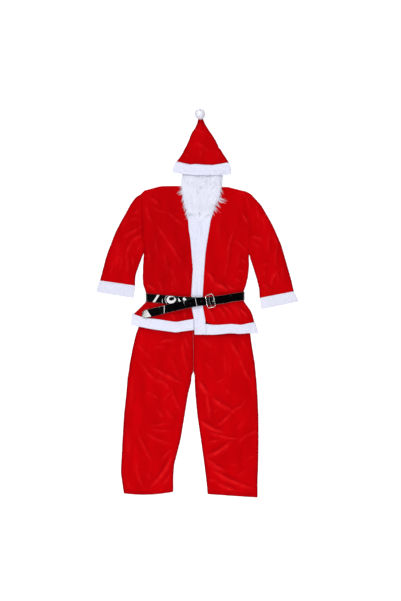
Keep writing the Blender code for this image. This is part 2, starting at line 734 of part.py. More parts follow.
def sleeves():
    """The sleeves, each one piece seamed under the arm, and their plush cuffs."""
    def space(s):
        return 1.4 + 2.2 * np.sin(math.pi * s) ** 0.7

    def soft(s):
        return 1.0 + 2.0 * np.sin(math.pi * s) ** 0.6

    for side, rows, cuff, folds in (("right", SLEEVE_RIGHT, CUFF_RIGHT, SLEEVE_RIGHT_FOLDS),
                                    ("left", SLEEVE_LEFT, CUFF_LEFT, SLEEVE_LEFT_FOLDS)):
        lay_tube("sleeve_" + side, rows, floor, space, VELOUR, "velour_red", SLEEVE_COLUMNS,
                 folds)
        lay_tube("cuff_" + side, cuff, floor, soft, PLUSH, "plush_white", SLEEVE_COLUMNS)


def hat():
    """The hat: a seamed cone that its pompom holds up at the tip, and a padded plush brim."""
    lift_from = CONE[-1].outer_y - TIP_LENGTH

    def cone_under(x, y):
        return TIP_RISE * np.clip((np.asarray(y) - lift_from) / TIP_LENGTH, 0, 1) ** 2

    def space(s):
        return 1.0 + 2.6 * np.sin(math.pi * s)

    lay_tube("hat_cone", CONE, cone_under, space, VELOUR, "velour_red", CONE_COLUMNS,
             CONE_FOLDS)

    def roll(s):
        return 1.3 + 2.4 * np.sin(math.pi * s) ** 0.5

    lay_tube("hat_brim", BRIM, resting(("beard",), reach=24.0), roll, BRIM_PLUSH, "plush_white",
             ROLL_COLUMNS)


# ---------------------------------------------------------------- hair

def grow_lock(build, face, reach, taper):
    """Draw one lock of hair out of a face, narrowing to its tip."""
    tip = bmesh.ops.extrude_discrete_faces(build, faces=[face])["faces"][0]
    bmesh.ops.translate(build, verts=tip.verts, vec=reach)
    middle = tip.calc_center_median()
    for vertex in tip.verts:
        vertex.co = middle + (vertex.co - middle) * taper
    return tip


def pompom():
    """A ball of plush locks tied at its core, left bare where the cone's tip meets it."""
    mesh = bpy.data.meshes.new("hat_pompom")
    build = bmesh.new()
    bmesh.ops.create_icosphere(build, subdivisions=2, radius=POMPOM_CORE * MM)
    core = list(build.faces)
    toward_tip = Vector((0, -1, -0.2)).normalized()
    for face in core:
        outward = face.calc_center_median().normalized()
        if outward.dot(toward_tip) < BARE_SPOT:
            length = (POMPOM_RADIUS - POMPOM_CORE) * MM
            tuft = grow_lock(build, face, outward * length * 0.7, POMPOM_SWELL)
            grow_lock(build, tuft, outward * length * 0.3, POMPOM_POINT)
    centre = Vector(POMPOM) * MM
    for vertex in build.verts:
        vertex.co.z *= POMPOM_SQUASH
        vertex.co += centre
    bmesh.ops.recalc_face_normals(build, faces=build.faces)
    build.to_mesh(mesh)
    build.free()
    add_piece("hat_pompom", mesh, "plush_white", rounded=False)


# The beard's backing, from under the brim to its point: left and right edge at each level.
Tress = namedtuple("Tress", "y left right")
BEARD = (
    Tress(670, -66, 122),
    Tress(648, -72, 124),
    Tress(626, -75, 124),
    Tress(604, -73, 122),
    Tress(584, -63, 108),
    Tress(564, -58, 101),
    Tress(544, -56, 97),
    Tress(523, -52, 90),
    Tress(503, -46, 80),
    Tress(484, -40, 72),
    Tress(466, -26, 58),
)
# Long tufts that stray from the beard's edges: where they grow and how far they reach.
Tuft = namedtuple("Tuft", "x y reach_x reach_y rise")
TUFTS = (
    Tuft(92, 530, 58, -20, 5),
    Tuft(84, 512, 52, -32, 6),
    Tuft(-54, 564, -16, -38, 10),
    Tuft(-50, 532, -16, -42, 11),
    Tuft(-42, 502, -12, -34, 9),
)
TUFT_REACH = (9, 8)   # a tuft takes the lock that grows within this much of its place
FAN_WIDTH, FAN_OUT = 90.0, 14.0   # the locks turn outward by FAN_OUT at the beard's edge


def beard():
    """The beard: a knitted backing with rows of tapering locks combed to its point."""
    rows = stations(BEARD, 15, "y")
    left, right = rows[:, [1, 0]], rows[:, [2, 0]]
    plan = patch(left, right, (left[0], right[0]), (left[-1], (16, 456), right[-1]), 11)
    laid_on = ("jacket_front_right", "jacket_front_left", "front_band_right",
               "front_band_left", "jacket_back", "neck_trim_back")
    bed = resting(laid_on, reach=32.0, slope=0.2)
    under = bed(plan[..., 0], plan[..., 1])
    piece = lay_sheet("beard", plan, under, BEARD_BACKING, "plush_white")
    note_top(piece)
    graph = bpy.context.evaluated_depsgraph_get()
    build = bmesh.new()
    build.from_mesh(piece.evaluated_get(graph).to_mesh())
    piece.modifiers.clear()
    upper = [face for face in build.faces if face.normal.z > 0.5]
    upper.sort(key=lambda face: (-face.calc_center_median().y, face.calc_center_median().x))
    brim_edge = BRIM[-1].inner_y - 6.0
    for face in upper:
        place = face.calc_center_median() / MM
        if place.y > brim_edge:
            continue
        fan = (place.x - BEARD_MIDDLE) / FAN_WIDTH
        reach = Vector((FAN_OUT * fan ** 3, -BEARD_LOCK, LOCK_RISE))
        for tuft in TUFTS:
            if (abs(place.x - tuft.x) < TUFT_REACH[0]
                    and abs(place.y - tuft.y) < TUFT_REACH[1]):
                reach = Vector((tuft.reach_x, tuft.reach_y, tuft.rise))
        tip = place + reach
        reach.z += max(0.0, float(bed(tip.x, tip.y) - bed(place.x, place.y)))
        grow_lock(build, face, reach * MM, BEARD_POINT)
    build.to_mesh(piece.data)
    build.free()


# ---------------------------------------------------------------- the belt's front and metal

def wire(name, points, width, key="metal_silver", closed=True):
    """A bent wire through points, as a closed mesh."""
    curve = bpy.data.curves.new(name, "CURVE")
    curve.dimensions = "3D"
    curve.bevel_depth = width * MM / 2
    curve.bevel_resolution = 1
    curve.use_fill_caps = not closed
    spline = curve.splines.new("POLY")
    spline.points.add(len(points) - 1)
    for spot, point in zip(spline.points, points):
        spot.co = (*(value * MM for value in point), 1.0)
    spline.use_cyclic_u = closed
    holder = bpy.data.objects.new(name + "_curve", curve)
    suit.objects.link(holder)
    mesh = bpy.data.meshes.new_from_object(holder.evaluated_get(
        bpy.context.evaluated_depsgraph_get()))
    bpy.data.objects.remove(holder, do_unlink=True)
    build = bmesh.new()
    build.from_mesh(mesh)
    bmesh.ops.remove_doubles(build, verts=build.verts, dist=0.00001)
    bmesh.ops.recalc_face_normals(build, faces=build.faces)
    build.to_mesh(mesh)
    build.free()
    mesh.name = name
    mesh.materials.clear()
    return add_piece(name, mesh, key)


def rounded_frame(wide, long, corner, turns=4):
    """Points round a rectangle with round corners, about its centre."""
    points = []
    for quarter in range(4):
        side_x = 1 if quarter in (0, 3) else -1
        side_y = 1 if quarter in (0, 1) else -1
        for step in range(turns + 1):
            angle = math.pi / 2 * (quarter + step / turns)
            points.append((side_x * (wide / 2 - corner) + corner * math.cos(angle),
                           side_y * (long / 2 - corner) + corner * math.sin(angle)))
    return points


def strap(name, path, centre, slot_rows=(), narrowing=lambda x: 1.0):
    """A stretch of strap through stations of its inner side: x, z and lean, at a centre line.

    slot_rows are left open for the prong down the middle; narrowing shapes a pointed tip.
    """
    rows = []
    for x, z, lean in path:
        width = STRAP_WIDTH * narrowing(x)
        rows.append([(x + lean * aside * width, centre(x) - aside * width, z)
                     for aside in (-0.5, -SLOT_SHARE, SLOT_SHARE, 0.5)])
    grid = np.array(rows).transpose(1, 0, 2)
    holes = [(1, row) for row in slot_rows]
    return lay_sheet(name, grid[..., :2], grid[..., 2], STRAP, "strap_black", holes)


def belt():
    """The belt's front: the sewn end round the buckle's bar, the free end through it."""
    below = ("jacket_back", "jacket_front_right", "jacket_front_left", "front_band_right",
             "front_band_left", "hem_trim_right", "trouser_leg_right", "trouser_leg_left")
    rest = resting(below, reach=30.0)
    sides = np.linspace(-STRAP_WIDTH / 2, STRAP_WIDTH / 2, 7)
    level = max(rest(x, belt_centre(x) + sides).max() for x in range(-20, 115, 5))
    bar_z = level + BAR_RISE

    def bed(x):
        return float(rest(x, belt_centre(x) + sides).max())

    # Sewn end: from the side fold to the bar, round it, and back beneath itself.
    sewn = [(BELT_RIGHT + 1.6, 2.6, 0), (BELT_RIGHT + 0.2, 3.8, 0), (BELT_RIGHT, 5.6, 0),
            (BELT_RIGHT + 1.6, bed(BELT_RIGHT + 6) + 0.4, 0)]
    sewn += [(x, bed(x), 0) for x in range(-248, -40, 23)]
    sewn += [(KEEPER_X - 26, level + 0.6, TILT / 2), (KEEPER_X - 5, level + SEWN_IN_KEEPER, TILT),
             (KEEPER_X + 5, level + SEWN_IN_KEEPER, TILT), (KEEPER_X + 18, level + SEWN_RISE, TILT),
             (BUCKLE_X - 36, level + SEWN_RISE, TILT), (BUCKLE_X - 14, level + SEWN_RISE, TILT)]
    slot_from = len(sewn)
    sewn += [(BUCKLE_X - 5, bar_z - 1.0, TILT), (BUCKLE_X - 1.5, bar_z + 1.7, TILT),
             (BUCKLE_X + 0.6, bar_z + 1.9, TILT), (BUCKLE_X + 2.0, bar_z + 0.4, TILT),
             (BUCKLE_X + 1.4, bar_z - 1.7, TILT)]
    slot_to = len(sewn)
    sewn += [(BUCKLE_X - 3.0, bar_z - 4.6, TILT), (BUCKLE_X - 9, level + TAIL_RISE, TILT),
             (BUCKLE_X - 30, level + TAIL_RISE, TILT)]
    strap("belt_front_right", sewn, belt_centre, range(slot_from, slot_to))
    note_top(bpy.data.objects["belt_front_right"])

    # Free end: from its tip, through the keeper and the buckle, to the other side fold.
    over = resting(below + ("belt_front_right",), reach=30.0)

    def free_centre(x):
        return np.interp(x, (-270, -229, -189, -148, -107, -66, -30, KEEPER_X, 20, BUCKLE_X,
                             97, 138, 178, 236, 241),
                         (-59, -51, -41, -30, -20, -11, -3, 3, 6, BUCKLE_Y - 1,
                          12, 17, 25, 33, 33))

    def shelf(x):
        return float(over(x, free_centre(x) + sides).max())

    def point(x):
        return float(np.interp(x, (-279, -274, -264, -250), (0.2, 0.6, 0.9, 1.0)))

    free = [(x, shelf(x), 0) for x in (-279, -274, -264)]
    free += [(x, shelf(x), 0) for x in range(-250, -50, 22)]
    free += [(KEEPER_X - 32, level + 5.0, TILT / 2), (KEEPER_X - 8, level + FREE_IN_KEEPER, TILT),
             (KEEPER_X + 12, level + FREE_IN_KEEPER, TILT), (BUCKLE_X - 36, level + FREE_RISE, TILT),
             (BUCKLE_X - 16, level + FREE_RISE, TILT), (BUCKLE_X - 8, bar_z + 1.9, TILT),
             (BUCKLE_X - 3, bar_z + OVER_BAR, TILT), (BUCKLE_X + 3, bar_z + OVER_BAR, TILT),
             (BUCKLE_X + 8.5, bar_z + OVER_BAR - 0.3, TILT)]
    punched = len(free) - 1
    free += [(BUCKLE_X + 15, level + 3.8, TILT), (BUCKLE_X + 26, level + 3.6, TILT),
             (BUCKLE_X + 45, level + 0.4, TILT / 2)]
    free += [(x, bed(x), 0) for x in range(135, 230, 23)]
    free += [(BELT_LEFT - 1.4, bed(BELT_LEFT - 6) + 0.4, 0), (BELT_LEFT, 5.6, 0),
             (BELT_LEFT - 0.2, 3.8, 0), (BELT_LEFT - 1.6, 2.6, 0)]
    strap("belt_front_left", free, free_centre, (punched,), point)

    lean = math.atan(TILT)
    frame = [(BUCKLE_X + x * math.cos(lean) - y * math.sin(lean),
              BUCKLE_Y + x * math.sin(lean) + y * math.cos(lean), bar_z)
             for x, y in rounded_frame(FRAME_WIDTH - FRAME_WIRE, FRAME_HEIGHT - FRAME_WIRE,
                                       FRAME_CORNER)]
    wire("buckle_frame", frame, FRAME_WIRE)
    reach = FRAME_HEIGHT / 2 - FRAME_WIRE - SEAM
    bar = [(BUCKLE_X - side * reach * math.sin(lean), BUCKLE_Y + side * reach * math.cos(lean),
            bar_z) for side in (-1, 1)]
    wire("buckle_bar", bar, BAR_WIRE, closed=False)

    # The prong hooks round the bar, comes up through the punched hole and rests on the frame.
    hook = 3.5
    bar_side = BUCKLE_X - (belt_centre(BUCKLE_X) - BUCKLE_Y) * TILT
    tongue = [(bar_side + hook * math.cos(math.radians(turn)),
               hook * math.sin(math.radians(turn))) for turn in (310, 265, 220, 175, 130, 95)]
    tongue += [(BUCKLE_X + 10, 3.5), (BUCKLE_X + 19, 3.8), (BUCKLE_X + 23, 3.4)]
    wire("buckle_prong", [(x, float(belt_centre(BUCKLE_X)), bar_z + z) for x, z in tongue],
         PRONG_WIRE, closed=False)

    # The keeper is a bent wire round both stretches of strap.
    low = level + SEWN_IN_KEEPER - SEAM - KEEPER_WIRE / 2
    high = level + FREE_IN_KEEPER + STRAP + SEAM + KEEPER_WIRE / 2
    loop = [(y, z + (high + low) / 2) for y, z in
            rounded_frame(STRAP_WIDTH + 8.0, high - low, 2.4, turns=2)]
    middle = float(belt_centre(KEEPER_X)) - 1.0
    wire("belt_keeper", [(KEEPER_X - TILT * y, middle + y, z) for y, z in loop], KEEPER_WIRE)


suit_steps = (belt_back, back_trims, jacket_back, trousers, fronts, sleeves, beard, hat, pompom,
              belt)
for step in suit_steps:
    step()
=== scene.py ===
"""Finish of a santa suit laid flat: hat, beard, belted jacket and trousers.

Plan points are in millimetres, meshes in metres. The wearer's right side is at -X and the hat
at +Y. Each piece is laid over what was laid before it, from the floor up.
"""
import math
from collections import namedtuple
from contextlib import contextmanager

import bmesh
import bpy
import numpy as np
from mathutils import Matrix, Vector
from mathutils.bvhtree import BVHTree


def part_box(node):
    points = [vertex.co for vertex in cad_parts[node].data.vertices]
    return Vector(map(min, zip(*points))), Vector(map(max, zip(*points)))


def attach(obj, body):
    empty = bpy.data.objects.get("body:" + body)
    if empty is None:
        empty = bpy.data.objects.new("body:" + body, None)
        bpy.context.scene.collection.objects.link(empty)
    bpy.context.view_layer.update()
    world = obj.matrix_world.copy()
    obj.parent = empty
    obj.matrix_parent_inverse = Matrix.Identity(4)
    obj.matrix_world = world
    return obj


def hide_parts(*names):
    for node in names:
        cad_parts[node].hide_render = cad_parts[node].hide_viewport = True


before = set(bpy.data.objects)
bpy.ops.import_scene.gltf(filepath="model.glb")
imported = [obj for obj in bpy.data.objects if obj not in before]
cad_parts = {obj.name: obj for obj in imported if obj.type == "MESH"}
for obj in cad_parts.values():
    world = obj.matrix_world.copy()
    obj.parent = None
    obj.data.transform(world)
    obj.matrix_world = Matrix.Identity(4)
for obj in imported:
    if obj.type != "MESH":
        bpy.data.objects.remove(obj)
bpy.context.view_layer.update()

# ---------------------------------------------------------------- camera, floor and light
# The suit is looked at from straight above, on a plain white sweep that glows a little, as a
# table lit from below does. One wide softbox beyond the hat gives the folds their shape, a
# second one fills in from the feet, and a narrow one at the side puts the glare on the belt.
MM = 0.001
CAMERA_HEIGHT = 6.0
FIELD = 3.065                     # metres that the long side of the picture takes in
VIEW_CENTRE = (0.0179, 0.0107)
SOFTBOXES = (                     # name, place, width, length and power
    ("key", (-0.5, 3.8, 3.0), 3.2, 1.4, 74.0),
    ("fill", (0.6, -3.6, 3.4), 3.0, 1.4, 92.0),
    ("glare", (-1.45, 0.10, 3.9), 1.85, 0.5, 62.0),
)
PALE_SKY = (0.95, 0.97, 1.0, 1)


def into_scene(name, data):
    """A new object in the scene."""
    thing = bpy.data.objects.new(name, data)
    bpy.context.scene.collection.objects.link(thing)
    return thing


eye = bpy.data.cameras.new("eye")
eye.lens = 36.0 * CAMERA_HEIGHT / FIELD
camera = into_scene("eye", eye)
camera.location = (*VIEW_CENTRE, CAMERA_HEIGHT)
bpy.context.scene.camera = camera
bpy.context.scene.view_settings.view_transform = "Standard"

bpy.ops.mesh.primitive_plane_add(size=30.0, location=(0, 0, -0.0006))
sweep = bpy.context.object
sweep.name = "sweep"
paper = bpy.data.materials.new("white_paper")
paper.use_nodes = True
paper_shader = paper.node_tree.nodes["Principled BSDF"]
paper_shader.inputs["Base Color"].default_value = (0.93, 0.93, 0.94, 1)
paper_shader.inputs["Roughness"].default_value = 0.9
paper_shader.inputs["Emission Color"].default_value = (1, 1, 1, 1)
paper_shader.inputs["Emission Strength"].default_value = 0.30
sweep.data.materials.append(paper)

for name, place, width, length, power in SOFTBOXES:
    lamp = bpy.data.lights.new(name, "AREA")
    lamp.shape = "RECTANGLE"
    lamp.size, lamp.size_y, lamp.energy = width, length, power
    holder = into_scene(name, lamp)
    holder.location = place
    aim = Vector((0.0, 0.1 * place[1], 0.0)) - holder.location
    holder.rotation_euler = aim.to_track_quat("-Z", "Y").to_euler()

sky = bpy.data.worlds.new("studio")
sky.use_nodes = True
sky_nodes, sky_links = sky.node_tree.nodes, sky.node_tree.links
direction = sky_nodes.new("ShaderNodeTexCoord")
height = sky_nodes.new("ShaderNodeSeparateXYZ")
dome = sky_nodes.new("ShaderNodeValToRGB")
dome.color_ramp.elements[0].color = (0.45, 0.46, 0.48, 1)
dome.color_ramp.elements[1].position = 0.935
dome.color_ramp.elements[1].color = (0.009, 0.009, 0.011, 1)
dome.color_ramp.elements.new(0.35).color = PALE_SKY
dome.color_ramp.elements.new(0.82).color = PALE_SKY
sky_links.new(direction.outputs["Generated"], height.inputs["Vector"])
sky_links.new(height.outputs["Z"], dome.inputs["Fac"])
sky_links.new(dome.outputs["Color"], sky_nodes["Background"].inputs["Color"])
sky_nodes["Background"].inputs["Strength"].default_value = 0.59
bpy.context.scene.world = sky

# ---------------------------------------------------------------- belt round the back
# The back stretch of the belt is a flat strap of black vinyl on a fabric backing. It lies
# lowest of all and shows at the wearer's sides only.
BELT_WIDTH = 43.0
STRAP_THICK = 1.5
GAP = 0.2                         # air under a piece that lies on the floor or on another
PILE_STEP = 3.0                   # spacing of the map that holds the height of all laid so far
PILE_X = np.arange(-546.0, 547.0, PILE_STEP)
PILE_Y = np.arange(-1020.0, 1021.0, PILE_STEP)
pile = np.zeros((len(PILE_X), len(PILE_Y)))
UP = Vector((0, 0, 1))


def blend(at, i, j, p, q):
    """The value of a grid between four of its cells."""
    return ((at(i, j) * (1 - p) + at(i + 1, j) * p) * (1 - q)
            + (at(i, j + 1) * (1 - p) + at(i + 1, j + 1) * p) * q)


def read_map(heights, x, y):
    """Heights of a map of the whole floor, at plan points."""
    u = np.clip((np.asarray(x) - PILE_X[0]) / PILE_STEP, 0, len(PILE_X) - 1.001)
    v = np.clip((np.asarray(y) - PILE_Y[0]) / PILE_STEP, 0, len(PILE_Y) - 1.001)
    i, j = u.astype(int), v.astype(int)
    return blend(lambda a, b: heights[a, b], i, j, u - i, v - j)


def cast_map(mesh):
    """A map of a mesh's upper side, with NaN where there is none."""
    points = np.array([v.co for v in mesh.vertices]) / MM
    tree = BVHTree.FromPolygons([v.co for v in mesh.vertices], [p.vertices for p in mesh.polygons])
    low, high = points.min(axis=0), points.max(axis=0)
    heights = np.full(pile.shape, np.nan)
    for i in np.flatnonzero((PILE_X > low[0]) & (PILE_X < high[0])):
        for j in np.flatnonzero((PILE_Y > low[1]) & (PILE_Y < high[1])):
            hit = tree.ray_cast(Vector((PILE_X[i] * MM, PILE_Y[j] * MM, 1.0)), -UP)[0]
            if hit is not None:
                heights[i, j] = hit.z / MM
    return heights


def note_top(piece):
    """Raise the pile to the top of a finished piece."""
    piece.data.update()
    np.fmax(pile, cast_map(piece.data), out=pile)


@contextmanager
def opened(mesh):
    """A mesh opened for editing, and closed again."""
    build = bmesh.new()
    build.from_mesh(mesh)
    yield build
    build.to_mesh(mesh)
    build.free()
    mesh.update()


def mark(mesh, key, values):
    """Write a value for each point of a mesh."""
    layer = mesh.attributes.new(key, "FLOAT", "POINT")
    layer.data.foreach_set("value", np.asarray(values, dtype=np.float32).ravel())


def stitch(name, rings, closed=False, marks=None, gone=None, turn=0):
    """A mesh of quads through rows of points, which may close on themselves or have gaps.

    turn starts each quad at another of its corners, so that it is split the other way.
    """
    rows, columns = rings.shape[:2]
    r, c = np.meshgrid(np.arange(rows - 1), np.arange(columns if closed else columns - 1),
                       indexing="ij")
    d = (c + 1) % columns
    faces = np.stack([r * columns + c, (r + 1) * columns + c, (r + 1) * columns + d,
                      r * columns + d], axis=-1)
    faces = np.roll(faces.reshape(-1, 4) if gone is None else faces[~gone], -turn, axis=1)
    mesh = bpy.data.meshes.new(name)
    mesh.from_pydata((rings.reshape(-1, 3) * MM).tolist(), [], faces.tolist())
    for key, values in (marks or {}).items():
        mark(mesh, key, values)
    mesh.update()
    return mesh


def add_piece(name, mesh, node):
    """Put a finished mesh in the suit as a piece that stands for a CAD node."""
    piece = into_scene(name, mesh)
    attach(piece, "root")
    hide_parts(node)
    return piece


def dress(piece, material):
    """Give a piece its material."""
    piece.data.materials.append(material)


def modify(piece, name, kind, **settings):
    """Add a modifier with its settings and apply it at once."""
    bpy.ops.object.select_all(action="DESELECT")
    bpy.context.view_layer.objects.active = piece
    piece.select_set(True)
    modifier = piece.modifiers.new(name, kind)
    for key, value in settings.items():
        setattr(modifier, key, value)
    bpy.ops.object.modifier_apply(modifier=name)
    piece.data.shade_smooth()


def belt_line(x):
    """How high in the plane the worn belt's centre runs."""
    return np.interp(x, (-259, -168, -87, -5, 68, 97, 138, 178, 236, 241),
                     (25, 17, 10, 5, 7, 12, 17, 25, 33, 33))


class Finish:
    """A material in the making, its textures fixed to the piece it is on."""

    def __init__(self, name):
        self.material = bpy.data.materials.new(name)
        self.material.use_nodes = True
        self.tree = self.material.node_tree
        self.place = self.add("TexCoord").outputs["Object"]

    def fill(self, node, inputs):
        """Set a node's inputs to values, or join them to other nodes' outputs."""
        for key, value in inputs.items():
            if isinstance(value, bpy.types.NodeSocket):
                self.tree.links.new(value, node.inputs[key])
            else:
                node.inputs[key].default_value = value
        return node

    def add(self, kind, **inputs):
        """A new node with its inputs filled."""
        return self.fill(self.tree.nodes.new("ShaderNode" + kind), inputs)

    def noise(self, scale, detail, rough=0.5, stretch=None):
        """Uneven values over the piece, drawn out where a stretch is given."""
        at = self.place
        if stretch:
            at = self.add("Mapping", Vector=at, Scale=stretch).outputs["Vector"]
        return self.add("TexNoise", Vector=at, Scale=scale, Detail=detail,
                        Roughness=rough).outputs["Fac"]

    def ramp(self, source, start, end, low, high):
        """A colour between two, as a value runs from start to end."""
        node = self.add("ValToRGB", Fac=source)
        first, last = node.color_ramp.elements
        first.position, last.position = start, end
        first.color, last.color = (*low, 1), (*high, 1)
        return node.outputs["Color"]

    def tint(self, under, key, colour):
        """A colour laid over another where the mesh is marked."""
        strength = self.add("Attribute")
        strength.attribute_name = key
        node = self.add("Mix")
        node.data_type = "RGBA"
        self.fill(node, {"Factor": strength.outputs["Fac"], "A": under, "B": (*colour, 1)})
        return node.outputs["Result"]

    def bump(self, source, distance, strength, **over):
        """A relief over the surface, or over another relief that is given as its Normal."""
        return self.add("Bump", Height=source, Distance=distance, Strength=strength,
                        **over).outputs["Normal"]

    def done(self, **inputs):
        """The material, once the shader's inputs are set or joined."""
        self.fill(self.tree.nodes["Principled BSDF"],
                  {key.replace("_", " "): value for key, value in inputs.items()})
        return self.material


def vinyl(name):
    """Glossy black vinyl: embossed grain, soft waves and fine scuffs."""
    f = Finish(name)
    tone = f.ramp(f.noise(38, 5), 0.35, 0.7, (0.0005, 0.0005, 0.0007), (0.0018, 0.0016, 0.0021))
    scuffs = f.ramp(f.noise(150, 6), 0.35, 0.7, (0.32, 0.32, 0.32), (0.5, 0.5, 0.5))
    waves = f.bump(f.noise(55, 2), 0.0005, 0.4)
    grain = f.bump(f.noise(2600, 2), 0.00012, 0.4, Normal=waves)
    return f.done(Base_Color=tone, Roughness=scuffs, Specular_IOR_Level=0.01, Coat_Weight=1.0,
                  Coat_Roughness=0.05, Normal=grain)


side_right, side_left = (corner.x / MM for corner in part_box("belt_back"))
x, across = np.meshgrid(np.linspace(side_right, side_left, 24),
                        np.linspace(-0.5, 0.5, 7) * BELT_WIDTH, indexing="ij")
rings = np.dstack([x, belt_line(x) + across, np.full_like(x, GAP)])
belt_back = add_piece("belt_back_strap", stitch("belt_back_strap", rings, turn=1),
                      "belt_back")
modify(belt_back, "Soft", "SUBSURF", levels=1, render_levels=1,
       boundary_smooth="PRESERVE_CORNERS")
modify(belt_back, "Wall", "SOLIDIFY", thickness=STRAP_THICK * MM, offset=1.0)
modify(belt_back, "Edge", "BEVEL", width=0.35 * MM, segments=2, limit_method="ANGLE")
dress(belt_back, vinyl("vinyl_back"))
note_top(belt_back)

# ---------------------------------------------------------------- white trims of the back
# Hem and neckline of the back are edged with a doubled band of short white plush, about
# 4 mm thick, stitched over the raw edge. They lie on the floor under the back.
PLUSH_THICK = 4.2
SOFTEN = 14.0                     # an outline's corners between its stations round off over this
rng = np.random.default_rng(24)
LATTICES = rng.random((8, 64, 64))


def outline(node):
    """Plan points round the upper side of a CAD solid, in order."""
    solid = bmesh.new()
    solid.from_mesh(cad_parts[node].data)
    bmesh.ops.remove_doubles(solid, verts=solid.verts, dist=0.00002)
    tree = BVHTree.FromBMesh(solid)
    upper = {face for face in solid.faces if face.normal.z > 0.2
             and tree.ray_cast(face.calc_center_median() + UP * 0.00002, UP)[0] is None}
    after = {}
    for edge in solid.edges:
        if sum(face in upper for face in edge.link_faces) == 1:
            a, b = edge.verts
            after.setdefault(a, []).append(b)
            after.setdefault(b, []).append(a)
    loops = []
    while after:
        loop = [next(iter(after))]
        while loop[-1] in after:
            step = [v for v in after.pop(loop[-1]) if v in after]
            if not step:
                break
            loop.append(step[0])
        loops.append([(v.co.x / MM, v.co.y / MM) for v in loop])
    solid.free()
    return np.array(max(loops, key=len))


def between(loop, start, end, other):
    """The stretch of a closed outline from one corner to the next, clear of another corner."""
    a, b, clear_of = (int(np.argmin(np.hypot(*(loop - np.array(point)).T)))
                      for point in (start, end, other))
    forward = [(a + k) % len(loop) for k in range((b - a) % len(loop) + 1)]
    backward = [(a - k) % len(loop) for k in range((a - b) % len(loop) + 1)]
    return loop[backward if clear_of in forward else forward]


def bell(cells):
    """The weights of a moving average that takes in some cells each way."""
    weights = np.hanning(2 * cells + 3)[1:-1]
    return weights / weights.sum()


def smooth_line(points, soften):
    """A line through points as a function of its share of length, with its ends kept."""
    steps = np.hypot(*np.diff(points, axis=0).T)
    run = np.concatenate([[0.0], np.cumsum(steps)])
    count = max(int(run[-1] / 2.0), 8)
    places = np.linspace(0.0, run[-1], count + 1)
    line = np.stack([np.interp(places, run, points[:, axis]) for axis in (0, 1)], axis=1)
    reach = int(min(soften, run[-1] / 6) / (run[-1] / count))
    long = np.concatenate([2 * line[0] - line[reach:0:-1], line,
                           2 * line[-1] - line[-2:-reach - 2:-1]])
    line = [np.convolve(long[:, axis], bell(reach), mode="valid") for axis in (0, 1)]
    shares = np.linspace(0.0, 1.0, count + 1)
    return lambda share: np.stack([np.interp(share, shares, way) for way in line], axis=-1)


def spread_out(length, step, edge=5.0):
    """Shares along a length with close spacing at both ends and an even step between."""
    near = np.array([0.0, 0.06, 0.18, 0.36, 0.62, 1.0]) * edge / length
    inner = np.linspace(near[-1], 1 - near[-1], max(int((length - 2 * edge) / step), 2) + 1)
    return np.concatenate([near[:-1], inner, 1 - near[-2::-1]])


def panel(node, corners, down, across, soften=SOFTEN):
    """Plan points of a four-cornered piece, rows down it and columns across it.

    The corners are its upper left, upper right, lower right and lower left one.
    """
    loop = outline(node)
    p, q, r, s = corners
    left, right, top, bottom = (smooth_line(between(loop, *ends), soften)
                                for ends in ((p, s, q), (q, r, p), (p, q, s), (s, r, p)))
    v, u = spread_out(*down), spread_out(*across)
    V, U = v[:, None, None], u[None, :, None]
    square = ((1 - U) * (1 - V) * left(0.0) + U * (1 - V) * right(0.0)
              + (1 - U) * V * left(1.0) + U * V * right(1.0))
    return ((1 - U) * left(v)[:, None] + U * right(v)[:, None]
            + ((1 - V) * top(u)[None] + V * bottom(u)[None]) - square)


def blur(values, cells):
    """Average a map over some cells each way."""
    for axis in (0, 1):
        values = sum(k * np.roll(values, n - cells, axis) for n, k in enumerate(bell(cells)))
    return values


def clearance(reach=6.0):
    """A smooth map that lies on or above all that is laid so far."""
    cells = int(round(reach / PILE_STEP))
    high = pile.copy()
    for i in range(-cells, cells + 1):
        for j in range(-cells, cells + 1):
            if math.hypot(i, j) <= cells + 0.3:
                high = np.maximum(high, np.roll(pile, (i, j), (0, 1)))
    return blur(high, cells)


def ease(distance, reach):
    """0 at a border, rising as a quarter circle to 1 at reach."""
    return np.sqrt(1 - (1 - np.clip(distance / reach, 0, 1)) ** 2)


def smooth_step(value, reach):
    """0 up to zero, rising softly to 1 at reach."""
    share = np.clip(value / reach, 0, 1)
    return share * share * (3 - 2 * share)


def spans(plan):
    """How far each plan point lies from its left, right, upper and lower border."""
    across = np.hypot(*np.moveaxis(np.diff(plan, axis=1), 2, 0))
    down = np.hypot(*np.moveaxis(np.diff(plan, axis=0), 2, 0))
    s = np.pad(np.cumsum(across, axis=1), ((0, 0), (1, 0)))
    v = np.pad(np.cumsum(down, axis=0), ((1, 0), (0, 0)))
    return s, s[:, -1:] - s, v, v[-1:] - v


def stand_out(plan, sides, share_of_it=1.0):
    """Move a piece's sides out past its solid, by a table of place, left and right."""
    at, left, right = zip(*sides)
    a, b, _, _ = spans(plan)
    share = a / (a + b)
    y = plan[..., 1]
    step = share * np.interp(y, at, right) - (1 - share) * np.interp(y, at, left)
    plan[..., 0] += step * share_of_it


def ripple(x, y, *waves):
    """Smooth uneven waves, each given by its height, its length and a layer of its own."""
    total = 0.0
    for height, size, layer in waves:
        u, v = np.asarray(x) / size + 7.3 * layer, np.asarray(y) / size + 3.1 * layer
        i, j = np.floor(u).astype(int), np.floor(v).astype(int)
        value = blend(lambda a, b: LATTICES[layer][a % 64, b % 64], i, j,
                      smooth_step(u - i, 1), smooth_step(v - j, 1))
        total = total + height * (2 * value - 1)
    return total


